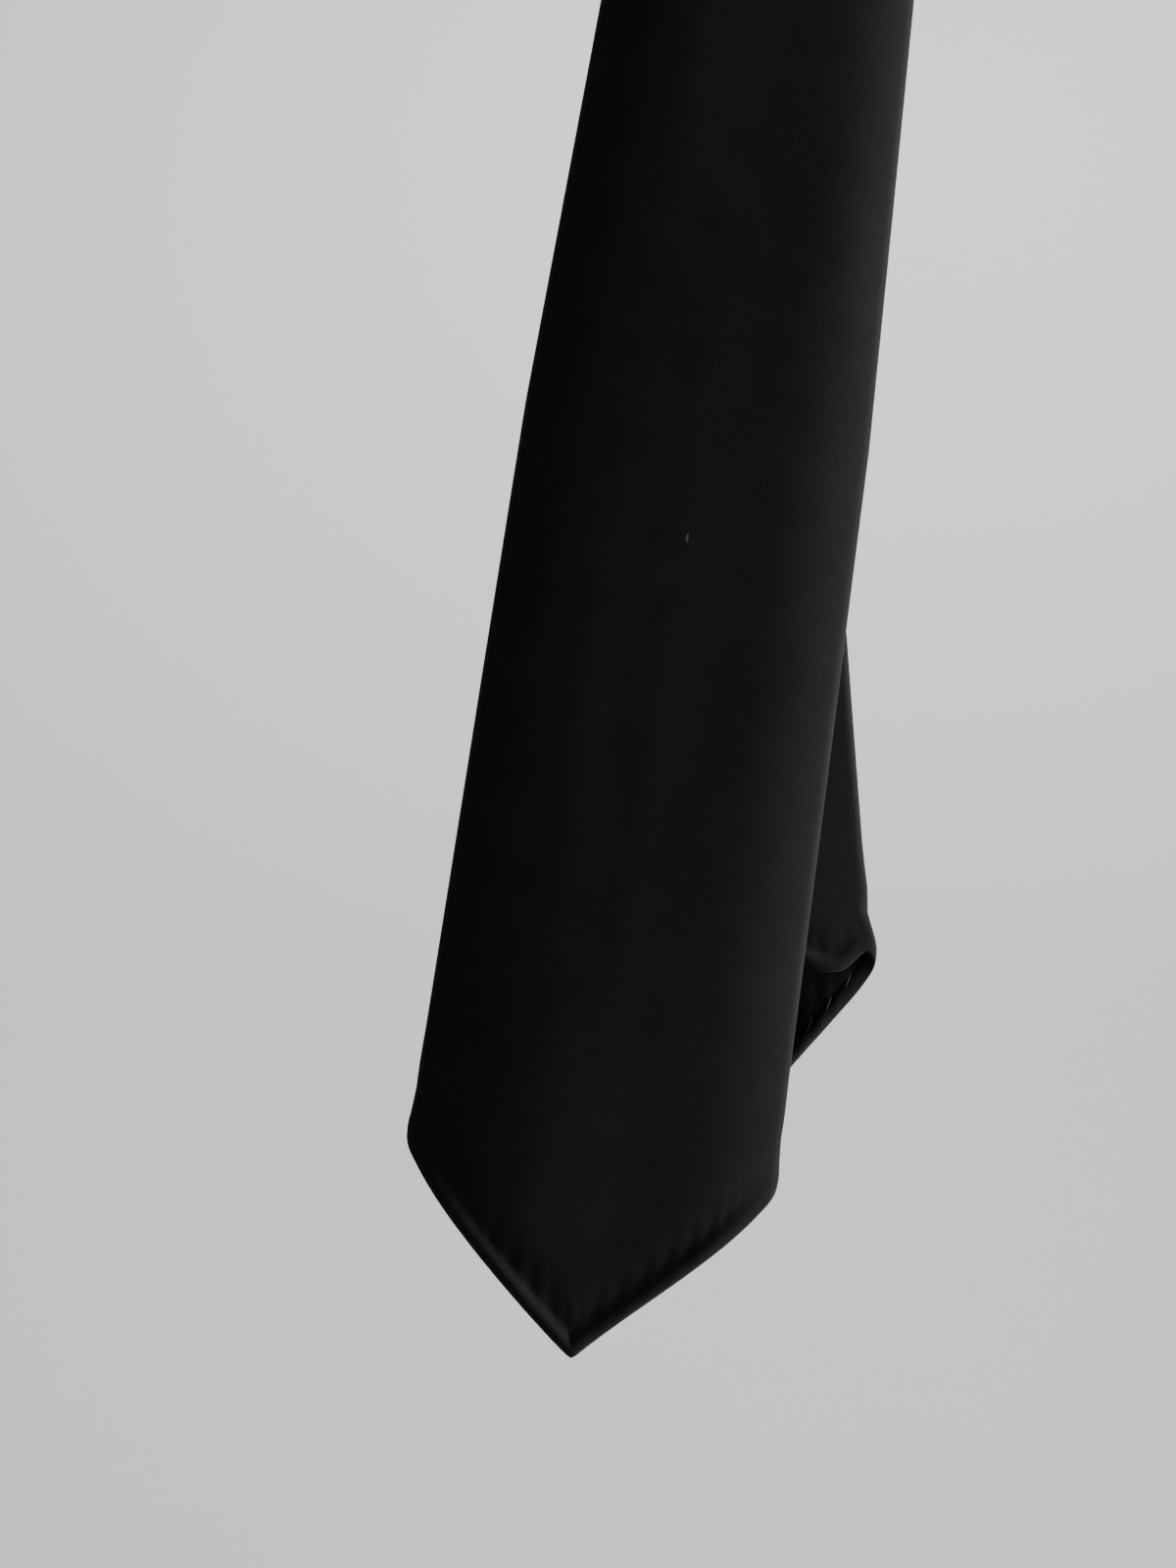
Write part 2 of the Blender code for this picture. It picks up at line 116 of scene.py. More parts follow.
# --- Finishes -----------------------------------------------------------------------------------
class Shader:
    """A small builder for a Principled material's nodes."""

    def __init__(self, name: str) -> None:
        """Starts a material.

        Args:
            name: Name of the material.
        """
        self.material = bpy.data.materials.new(name)
        self.material.use_nodes = True
        self.tree = self.material.node_tree
        self.surface = self.tree.nodes["Principled BSDF"]

    def add(self, kind: str, **settings: object) -> bpy.types.Node:
        """Adds a node.

        Args:
            kind: Blender's type name, without its ShaderNode prefix.
            settings: Properties of the node.

        Returns:
            The new node.
        """
        node = self.tree.nodes.new(f"ShaderNode{kind}")
        for key, value in settings.items():
            setattr(node, key, value)
        return node

    def link(self, source: bpy.types.NodeSocket, target: bpy.types.NodeSocket) -> None:
        """Joins two sockets."""
        self.tree.links.new(source, target)

    def cloth_map(self, scale: tuple[float, float, float], turn: float = 0.0) -> bpy.types.NodeSocket:
        """Cloth coordinates, from the piece's own map in metres.

        Args:
            scale: Scale along the map's two directions.
            turn: Angle by which the pattern is turned, in radians.

        Returns:
            The vector socket.
        """
        source = self.add("UVMap", uv_map=Cloth.MAP)
        mapping = self.add("Mapping")
        mapping.inputs["Scale"].default_value = scale
        mapping.inputs["Rotation"].default_value = (0.0, 0.0, turn)
        self.link(source.outputs["UV"], mapping.inputs["Vector"])
        return mapping.outputs["Vector"]

    def math(self, operation: str, first: object, second: object = 0.0) -> bpy.types.NodeSocket:
        """A Math node.

        Args:
            operation: Name of the operation.
            first: Socket or number.
            second: Socket or number.

        Returns:
            The result's socket.
        """
        node = self.add("Math", operation=operation)
        for socket, value in zip(node.inputs, (first, second)):
            if isinstance(value, (int, float)):
                socket.default_value = value
            else:
                self.link(value, socket)
        return node.outputs[0]

    def ramp(
        self, factor: bpy.types.NodeSocket, stops: list[tuple[float, tuple]]
    ) -> bpy.types.NodeSocket:
        """A colour ramp.

        Args:
            factor: What drives it.
            stops: Position and colour of each stop.

        Returns:
            The colour socket.
        """
        node = self.add("ValToRGB")
        for element, (position, colour) in zip(node.color_ramp.elements, stops):
            element.position = position
            element.color = (*colour, 1.0)
        self.link(factor, node.inputs["Fac"])
        return node.outputs["Color"]

    def mix(self, factor: object, first: object, second: object) -> bpy.types.NodeSocket:
        """Mixes two colours.

        Args:
            factor: Socket or number.
            first: Socket or colour at factor 0.
            second: Socket or colour at factor 1.

        Returns:
            The colour socket.
        """
        node = self.add("Mix", data_type="RGBA")
        sockets = (node.inputs["Factor"], node.inputs[6], node.inputs[7])
        for socket, value in zip(sockets, (factor, first, second)):
            if isinstance(value, bpy.types.NodeSocket):
                self.link(value, socket)
            elif isinstance(value, tuple):
                socket.default_value = (*value, 1.0)
            else:
                socket.default_value = value
        return node.outputs[2]

    def bump(self, height: bpy.types.NodeSocket, strength: float, distance: float) -> None:
        """Raises the surface by a height.

        Args:
            height: What raises it, 0 to 1.
            strength: Share of the effect.
            distance: Height in metres.
        """
        node = self.add("Bump")
        node.inputs["Strength"].default_value = strength
        node.inputs["Distance"].default_value = distance
        self.link(height, node.inputs["Height"])
        self.link(node.outputs["Normal"], self.surface.inputs["Normal"])

    def set(self, **values: object) -> None:
        """Sets constants on the Principled shader; underscores stand for spaces."""
        for key, value in values.items():
            self.surface.inputs[key.replace("_", " ")].default_value = value


def wave_scale(pitch: float) -> float:
    """Scale at which a band texture repeats at a pitch in metres."""
    return math.pi / (10 * pitch)


@dataclass(frozen=True)
class TwillCloth:
    """Matte black wool and silk twill, with a fine diagonal rib, faint mottling and a little lint."""

    name: str = "black_twill"
    dark: tuple[float, float, float] = (0.0040, 0.0039, 0.0048)
    light: tuple[float, float, float] = (0.0066, 0.0063, 0.0081)
    lint: tuple[float, float, float] = (0.040, 0.040, 0.046)
    rib_pitch: float = 0.00046
    rib_height: float = 0.00006
    mottle_size: float = 0.012
    lint_spacing: float = 0.042
    lint_reach: float = 0.030
    lint_bend: float = 0.0012

    def material(self) -> bpy.types.Material:
        """Builds the material."""
        shader = Shader(self.name)
        plain = shader.cloth_map((1.0, 1.0, 1.0))
        ribs = shader.add("TexWave", wave_type="BANDS", bands_direction="X", wave_profile="SIN")
        shader.link(shader.cloth_map((1.0, 1.0, 1.0), math.radians(63)), ribs.inputs["Vector"])
        ribs.inputs["Scale"].default_value = wave_scale(self.rib_pitch)
        ribs.inputs["Distortion"].default_value = 0.6
        ribs.inputs["Detail"].default_value = 2.0
        ribs.inputs["Detail Scale"].default_value = 3.0
        yarn = shader.add("TexNoise", noise_dimensions="3D")
        shader.link(shader.cloth_map((1.0, 0.35, 1.0), math.radians(18)), yarn.inputs["Vector"])
        yarn.inputs["Scale"].default_value = 1 / (2 * self.rib_pitch)
        yarn.inputs["Detail"].default_value = 3.0
        mottle = shader.add("TexNoise", noise_dimensions="3D")
        shader.link(plain, mottle.inputs["Vector"])
        mottle.inputs["Scale"].default_value = 1 / self.mottle_size
        mottle.inputs["Detail"].default_value = 4.0
        blend = shader.math("MULTIPLY", mottle.outputs["Fac"], 0.55)
        blend = shader.math("ADD", blend, shader.math("MULTIPLY", yarn.outputs["Fac"], 0.30))
        blend = shader.math("ADD", blend, shader.math("MULTIPLY", ribs.outputs["Fac"], 0.15))
        cloth = shader.ramp(blend, [(0.32, self.dark), (0.72, self.light)])
        colour = shader.mix(self.fluff(shader, plain), cloth, self.lint)
        shader.link(colour, shader.surface.inputs["Base Color"])
        rough = shader.math("MULTIPLY_ADD", yarn.outputs["Fac"], 0.16)
        rough.node.inputs[2].default_value = 0.74
        shader.link(rough, shader.surface.inputs["Roughness"])
        yarn_height = shader.math("MULTIPLY", yarn.outputs["Fac"], 0.8)
        height = shader.math("ADD", ribs.outputs["Fac"], yarn_height)
        shader.bump(height, 0.40, self.rib_height)
        shader.set(
            Specular_IOR_Level=0.06,
            Sheen_Weight=0.12,
            Sheen_Roughness=0.35,
            Sheen_Tint=(0.86, 0.87, 1.0, 1.0),
        )
        return shader.material

    def fluff(self, shader: Shader, plain: bpy.types.NodeSocket) -> bpy.types.NodeSocket:
        """Where a bent wisp of lint lies.

        Args:
            shader: The material that is being built.
            plain: Cloth coordinates in metres.

        Returns:
            A socket from 0, clean cloth, to 1, lint.
        """
        bend = shader.add("TexNoise", noise_dimensions="3D")
        shader.link(plain, bend.inputs["Vector"])
        bend.inputs["Scale"].default_value = 420.0
        bent = shader.add("VectorMath", operation="MULTIPLY_ADD")
        shader.link(bend.outputs["Color"], bent.inputs[0])
        bent.inputs[1].default_value = (self.lint_bend, self.lint_bend, 0.0)
        shader.link(plain, bent.inputs[2])
        turned = shader.add("Mapping")
        turned.inputs["Rotation"].default_value = (0.0, 0.0, math.radians(25))
        turned.inputs["Scale"].default_value = (1.0, 0.28, 1.0)
        shader.link(bent.outputs["Vector"], turned.inputs["Vector"])
        wisps = shader.add("TexVoronoi", feature="F1", voronoi_dimensions="2D")
        shader.link(turned.outputs["Vector"], wisps.inputs["Vector"])
        wisps.inputs["Scale"].default_value = 1 / self.lint_spacing
        size = shader.add("SeparateColor")
        shader.link(wisps.outputs["Color"], size.inputs["Color"])
        reach = shader.math("MULTIPLY", size.outputs["Red"], self.lint_reach)
        reach = shader.math("MULTIPLY", reach, size.outputs["Green"])
        return shader.math("LESS_THAN", wisps.outputs["Distance"], reach)


@dataclass(frozen=True)
class WoolCore:
    """Undyed brushed wool interlining with an open plain weave."""

    name: str = "undyed_interlining"
    dark: tuple[float, float, float] = (0.36, 0.33, 0.27)
    light: tuple[float, float, float] = (0.60, 0.57, 0.49)
    yarn_pitch: float = 0.0011

    def material(self) -> bpy.types.Material:
        """Builds the material."""
        shader = Shader(self.name)
        heights = []
        for turn in (0.0, math.pi / 2):
            yarns = shader.add("TexWave", wave_type="BANDS", bands_direction="X", wave_profile="SIN")
            shader.link(shader.cloth_map((1.0, 1.0, 1.0), turn), yarns.inputs["Vector"])
            yarns.inputs["Scale"].default_value = wave_scale(self.yarn_pitch)
            yarns.inputs["Distortion"].default_value = 1.2
            yarns.inputs["Detail"].default_value = 2.0
            heights.append(yarns.outputs["Fac"])
        weave = shader.math("MAXIMUM", heights[0], heights[1])
        shader.link(
            shader.ramp(weave, [(0.3, self.dark), (0.9, self.light)]),
            shader.surface.inputs["Base Color"],
        )
        shader.bump(weave, 0.7, 0.0002)
        shader.set(Roughness=0.95, Specular_IOR_Level=0.1, Sheen_Weight=0.2)
        return shader.material


@dataclass(frozen=True)
class SilkThread:
    """Black silk thread, with the slanting gleam of its twist."""

    name: str = "black_silk_thread"
    dark: tuple[float, float, float] = (0.003, 0.003, 0.004)
    light: tuple[float, float, float] = (0.011, 0.011, 0.014)
    twist_pitch: float = 0.0005

    def material(self) -> bpy.types.Material:
        """Builds the material."""
        shader = Shader(self.name)
        place = shader.add("TexCoord")
        twist = shader.add("TexWave", wave_type="BANDS", bands_direction="DIAGONAL")
        shader.link(place.outputs["Object"], twist.inputs["Vector"])
        twist.inputs["Scale"].default_value = wave_scale(self.twist_pitch)
        shader.link(
            shader.ramp(twist.outputs["Fac"], [(0.2, self.dark), (0.9, self.light)]),
            shader.surface.inputs["Base Color"],
        )
        shader.bump(twist.outputs["Fac"], 0.4, 0.00005)
        shader.set(Roughness=0.50, Specular_IOR_Level=0.16, Sheen_Weight=0.05)
        return shader.material


@dataclass(frozen=True)
class LabelTape:
    """Blank black satin tape with fine crosswise ribs and a woven selvedge."""

    name: str = "blank_label_tape"
    dark: tuple[float, float, float] = (0.014, 0.014, 0.018)
    light: tuple[float, float, float] = (0.034, 0.034, 0.042)
    rib_pitch: float = 0.0006

    def material(self) -> bpy.types.Material:
        """Builds the material."""
        shader = Shader(self.name)
        ribs = shader.add("TexWave", wave_type="BANDS", bands_direction="Y")
        shader.link(shader.cloth_map((1.0, 1.0, 1.0)), ribs.inputs["Vector"])
        ribs.inputs["Scale"].default_value = wave_scale(self.rib_pitch)
        shader.link(
            shader.ramp(ribs.outputs["Fac"], [(0.1, self.dark), (0.9, self.light)]),
            shader.surface.inputs["Base Color"],
        )
        shader.bump(ribs.outputs["Fac"], 0.5, 0.00008)
        shader.set(Roughness=0.42, Specular_IOR_Level=0.45, Sheen_Weight=0.1)
        return shader.material


@dataclass
class Wardrobe:
    """The finishes, each made once."""

    cloth: bpy.types.Material = field(default_factory=lambda: TwillCloth().material())
    core: bpy.types.Material = field(default_factory=lambda: WoolCore().material())
    thread: bpy.types.Material = field(default_factory=lambda: SilkThread().material())
    tape: bpy.types.Material = field(default_factory=lambda: LabelTape().material())

    def of(self, slot: Slot) -> bpy.types.Material:
        """The material that a slot wears."""
        return {
            Slot.SHELL: self.cloth,
            Slot.INTERLINING: self.core,
            Slot.THREAD: self.thread,
            Slot.LABEL: self.tape,
        }[slot]


# --- How the tie lies ---------------------------------------------------------------------------
@dataclass(frozen=True)
class Swell:
    """A soft rise or dent, where the cloth has been handled or lies over something."""

    along: float
    across: float
    length: float
    breadth: float
    height: float

    def at(self, along: float, across: float) -> float:
        """Height at a place of the tie."""
        reach = ((along - self.along) / self.length) ** 2 + ((across - self.across) / self.breadth) ** 2
        return self.height * math.exp(-reach) if reach < 9 else 0.0


@dataclass(frozen=True)
class BladeShape:
    """The flat shape of one pointed end, with its side of the fold as a sign."""

    name: str
    body: Body
    side: int
    length: float
    seam: float
    width: float
    knee: float
    knee_width: float
    neck_reach: float
    neck_width: float = 0.038
    slope: float = 0.90
    blunt: float = 0.0004
    tip_sway: float = 0.0015
    tip_sway_reach: float = 0.0070
    side_bow: float = 0.0
    flare: float = 0.0
    lobe: float = 0.0
    lobe_reach: float = 0.0036
    flap_rise: float = 0.0230
    fold_run: float = 0.0032
    flare_at: float = 0.0025
    flare_reach: float = 0.0040
    notch_at: float = 0.0095
    nip_share: float = 0.32
    point_drop: float = 1.05
    turn_up: float = 0.0297
    turn_up_at: float = 0.79
    turn_up_limit: float = 0.151

    @property
    def opening_top(self) -> float:
        """Distance from the top of the fold to the top of the open V on the back."""
        return self.length - self.point_drop * self.width

    def width_at(self, reach: float) -> float:
        """Finished width.

        Args:
            reach: Distance from the top of the fold.

        Returns:
            The width, which narrows slowly to the knee and then evenly to the neck.
        """
        up = self.length - reach
        if up <= self.knee:
            share = max(0.0, up - self.width / 2) / (self.knee - self.width / 2)
            return self.width + share * (self.knee_width - self.width)
        share = min(1.0, (up - self.knee) / (self.neck_reach - self.knee))
        return self.knee_width + share * (self.neck_width - self.knee_width)

    def cut_edge(self, from_centre: float) -> float:
        """Height of the plain pointed edge over the tip.

        Args:
            from_centre: Distance from the centre line, on the flat cloth, never below zero.

        Returns:
            The height. The edge is straight and turns up at the side folds.
        """
        half = self.width / 2
        straight = self.slope * (math.hypot(from_centre, self.blunt) - self.blunt)
        turn = self.turn_up * half * (from_centre / (self.turn_up_at * half)) ** 6
        limit = self.turn_up_limit * half
        if turn > 0:
            turn = (turn ** -4 + limit ** -4) ** -0.25
        return straight + turn

    def drop(self, unfolded: float) -> float:
        """Height of the hem over the tip.

        Args:
            unfolded: Distance from the centre line, on the flat cloth.

        Returns:
            The cut edge's height. On a blade with a lobe, the hem droops just past the fold before
            it climbs to the middle of the back.
        """
        half = self.width / 2
        fold = half + self.fold_run
        past_fold = abs(unfolded) - fold
        if self.lobe == 0 or past_fold <= 0:
            return self.cut_edge(abs(unfolded))
        droop = self.lobe * (1 - math.exp(-((past_fold / self.lobe_reach) ** 2)))
        rise = self.flap_rise * (past_fold / half) ** 4
        return self.cut_edge(fold) + rise - droop

    def pitch(self, unfolded: float) -> float:
        """Length along the columns that a unit across the hem takes."""
        step = 0.0002
        rise = (self.drop(abs(unfolded) + step) - self.drop(abs(unfolded))) / step
        return math.hypot(1.0, rise)

    def opening(self, from_hem: float) -> float:
        """How far a side fold springs open sideways near the hem, with a slight nip above it."""
        swell = math.exp(-(((from_hem - self.flare_at) / self.flare_reach) ** 2))
        nip = math.exp(-(((from_hem - self.notch_at) / self.flare_reach) ** 2))
        return self.flare * (swell - self.nip_share * nip)

    def sway(self, reach: float) -> float:
        """Sideways pull of the tip."""
        up = max(0.0, self.length - reach)
        return self.tip_sway * math.exp(-up / self.tip_sway_reach)


@dataclass(frozen=True)
class Hang:
    """The bar, and how the whole tie lies over it."""

    front: BladeShape
    tail: BladeShape
    swells: tuple[Swell, ...]
    bar_radius: float = 0.006
    lean: float = math.radians(6.05)
    crossing: float = 0.531
    bow_length: float = 0.450
    cloth: float = 0.0006
    interlining: float = 0.0010
    clearance: float = 0.0003
    thread: float = 0.0004
    lap: float = 0.008
    bias: float = 1.0
    fullness: float = 0.16
    edge_fall: float = 0.40
    past_bend: float = 0.004

    @property
    def flap_space(self) -> float:
        """Room between the two lapped flaps."""
        return self.thread + 2 * self.clearance

    @property
    def over_flap(self) -> float:
        """Depth of the flap on top."""
        return self.cloth / 2

    @property
    def under_flap(self) -> float:
        """Depth of the flap below."""
        return self.over_flap + self.cloth + self.flap_space

    @property
    def core_depth(self) -> float:
        """Depth of the interlining."""
        return self.under_flap + self.cloth / 2 + self.clearance + self.interlining / 2

    @property
    def face_depth(self) -> float:
        """Depth of the face."""
        return self.core_depth + self.interlining / 2 + self.clearance + self.cloth / 2

    @property
    def flap_root(self) -> float:
        """Depth at which both flaps leave the side folds."""
        return (self.over_flap + self.under_flap) / 2

    @property
    def fold_radius(self) -> float:
        """Radius of the side folds."""
        return (self.face_depth - self.flap_root) / 2

    @property
    def bend_radius(self) -> float:
        """Radius of the tie's middle over the bar."""
        return self.bar_radius + (self.face_depth + self.cloth / 2) / 2

    @property
    def bend_run(self) -> float:
        """Distance from the top of the fold to where the cloth hangs straight."""
        return math.pi / 2 * self.bend_radius + self.past_bend

    @property
    def crown_lean(self) -> float:
        """Lean of the centre line at the top of the fold."""
        return self.lean * (2 * self.crossing / self.bow_length - 1)

    @property
    def bow_radius(self) -> float:
        """Radius of the centre line's gentle bow."""
        return self.bow_length / (self.crown_lean + self.lean)

    def blade(self, along: float) -> BladeShape:
        """The blade on that side of the fold."""
        return self.front if along >= 0 else self.tail

    def width_at(self, along: float) -> float:
        """Finished width at a place along the tie."""
        return self.blade(along).width_at(abs(along))

    def seam_line(self, shape: BladeShape, across: float) -> float:
        """Distance of a bias seam from the top of the fold, at one place across."""
        return shape.seam + shape.side * self.bias * across

    def relief(self, along: float, across: float) -> float:
        """Height of the swells and of the cloth's slow ripple at a place."""
        fade = smooth_step(0.05, 0.20, abs(along))
        ripple = 0.00022 * math.sin(along / 0.021 + across / 0.016)
        ripple += 0.00018 * math.sin(along / 0.034 - across / 0.027 + 1.3)
        return fade * ripple + sum(swell.at(along, across) for swell in self.swells)

    def place(self, along: float, across: float, depth: float) -> Vector:
        """World place of a point of the tie.

        Args:
            along: Distance from the top of the fold, positive down the wide blade.
            across: Distance from the centre line, positive towards +X.
            depth: Distance from the seam side towards the face side.

        Returns:
            The place in the row frame.
        """
        share = min(1.0, abs(across) / (self.width_at(along) / 2))
        puff = 1 + self.fullness * (1 - share ** 2) - self.edge_fall * share ** 5
        fade = smooth_step(0.03, 0.12, abs(along))
        depth = depth * (1 + fade * (puff - 1)) if depth > 0 else depth
        blade = self.blade(along)
        depth += self.relief(along, across) - fade * blade.side_bow * share ** 4
        across += blade.sway(abs(along))
        reach = abs(along)
        turned = min(reach, self.bow_length)
        heading = turned / self.bow_radius - self.crown_lean
        straight = reach - turned
        x = self.bow_radius * (math.cos(heading) - math.cos(self.crown_lean))
        x -= straight * math.sin(heading)
        s = self.bow_radius * (math.sin(heading) + math.sin(self.crown_lean))
        s += straight * math.cos(heading)
        x = blade.side * x + across * math.cos(heading)
        s = blade.side * s + across * math.sin(heading)
        quarter = math.pi / 2
        bend = max(-quarter, min(quarter, s / self.bend_radius))
        fall = max(0.0, abs(s) - quarter * self.bend_radius)
        radius = self.bar_radius + depth
        return Vector((x, -radius * math.sin(bend), radius * math.cos(bend) - self.bar_radius - fall))


@dataclass(frozen=True)
class Station:
    """A place on a folded panel's section, with its outward direction and its place on flat cloth."""

    across: float
    depth: float
    unfolded: float
    out_across: float
    out_depth: float
    room: float


class Stretch(Enum):
    """Stretches of a folded section, from the middle of the face to the edge of a flap."""

    FACE = "face"
    FOLD = "side fold"
    FLAP = "flap"
    LAP = "lap"
    TURN = "turn of the edge"
    UNDER = "strip under the flap"


@dataclass(frozen=True)
class Column:
    """One lengthwise line of a folded panel: its half, its stretch and its share of the stretch."""

    side: int
    stretch: Stretch
    share: float


@dataclass(frozen=True)
class Section:
    """The folded section of a panel: the face, two side folds and two lapped flaps."""

    hang: Hang
    face_steps: int
    fold_steps: int = 12
    flap_share: float = 0.85
    lap_steps: int = 7
    turn_radius: float = 0.0004
    turned_under: float = 0.0023
    soft_reach: float = 0.014
    fold_room: float = 0.30
    lap_room: float = 0.35
    turn_room: float = 0.1
    turn_steps: int = 4

    def columns(self) -> list[Column]:
        """Columns from the edge of the left flap, over the face, to the edge of the right flap."""
        steps = {
            Stretch.FACE: self.face_steps,
            Stretch.FOLD: self.fold_steps,
            Stretch.FLAP: round(self.face_steps * self.flap_share),
            Stretch.LAP: self.lap_steps,
        }
        left = [Column(-1, kind, i / n) for kind, n in steps.items() for i in range(1, n + 1)]
        right = [Column(1, kind, i / n) for kind, n in steps.items() for i in range(1, n + 1)]
        right += [Column(1, Stretch.TURN, i / self.turn_steps) for i in range(1, self.turn_steps + 1)]
        right += [Column(1, Stretch.UNDER, share) for share in (0.5, 1.0)]
        return left[::-1] + [Column(1, Stretch.FACE, 0.0)] + right

    def softness(self, inside: float) -> float:
        """Share of a raised shape that shows at a distance inside the side fold."""
        return self.fold_room + (1 - self.fold_room) * smooth_step(0.0, self.soft_reach, inside)

    def at(self, width: float, column: Column) -> Station:
        """One column's station.

        Args:
            width: Finished width.
            column: The column.

        Returns:
            The station.
        """
        hang, side, share = self.hang, column.side, column.share
        flat = width / 2 - hang.fold_radius
        if column.stretch is Stretch.FACE:
            across = flat * share
            room = self.softness(flat - across)
            return Station(side * across, hang.face_depth, side * across, 0.0, 1.0, room)
        if column.stretch is Stretch.FOLD:
            turn = math.pi * share
            across = flat + hang.fold_radius * math.sin(turn)
            depth = (hang.face_depth + hang.flap_root) / 2 + hang.fold_radius * math.cos(turn)
            unfolded = side * (flat + hang.fold_radius * turn)
            out = (side * math.sin(turn), math.cos(turn))
            return Station(side * across, depth, unfolded, *out, self.fold_room)
        lapped = hang.under_flap if side < 0 else hang.over_flap
        start = hang.lap / 2 + hang.flap_space
        back = 2 * flat + math.pi * hang.fold_radius
        if column.stretch is Stretch.FLAP:
            across = flat + share * (start - flat)
            depth = hang.flap_root + smooth_step(0, 1, share) * (lapped - hang.flap_root)
            near_lap = smooth_step(0.0, self.soft_reach, across - start)
            room = self.softness(flat - across) * (self.lap_room + (1 - self.lap_room) * near_lap)
            return Station(side * across, depth, side * (back - across), 0.0, -1.0, room)
        if column.stretch is Stretch.LAP:
            across = start - share * (start + hang.lap / 2)
            return Station(side * across, lapped, side * (back - across), 0.0, -1.0, self.lap_room)
        edge = -hang.lap / 2
        base = back - edge
        if column.stretch is Stretch.TURN:
            turn = math.pi * share
            across = edge - self.turn_radius * math.sin(turn)
            depth = lapped + self.turn_radius * (1 - math.cos(turn))
            out = (-math.sin(turn), -math.cos(turn))
            return Station(across, depth, base + self.turn_radius * turn, *out, self.turn_room)
        across = edge + share * self.turned_under
        unfolded = base + math.pi * self.turn_radius + share * self.turned_under
        depth = lapped + 2 * self.turn_radius
        return Station(across, depth, unfolded, 0.0, 1.0, self.turn_room)


# --- Making pieces ------------------------------------------------------------------------------
@dataclass
class Grid:
    """Rows of places, each with its place on the flat cloth."""

    places: list[list[Vector]] = field(default_factory=list)
    flat: list[list[tuple[float, float]]] = field(default_factory=list)

    def add_row(self, row: Iterable[tuple[Vector, tuple[float, float]]]) -> None:
        """Adds a row of (place, flat place)."""
        pairs = list(row)
        self.places.append([place for place, _ in pairs])
        self.flat.append([flat for _, flat in pairs])

    @property
    def rows(self) -> int:
        """Number of rows."""
        return len(self.places)

    @property
    def columns(self) -> int:
        """Number of columns."""
        return len(self.places[0])

    def flat_area(self) -> float:
        """Area of the flat cloth, in square metres."""
        total = 0.0
        for lower, upper in zip(self.flat, self.flat[1:]):
            for i in range(self.columns - 1):
                a, b, c, d = lower[i], lower[i + 1], upper[i + 1], upper[i]
                total += abs((c[0] - a[0]) * (d[1] - b[1]) - (d[0] - b[0]) * (c[1] - a[1])) / 2
        return total

    def flat_size(self) -> tuple[float, float]:
        """Width and length of the flat cloth."""
        across = [u for row in self.flat for u, _ in row]
        along = [v for row in self.flat for _, v in row]
        return max(across) - min(across), max(along) - min(along)


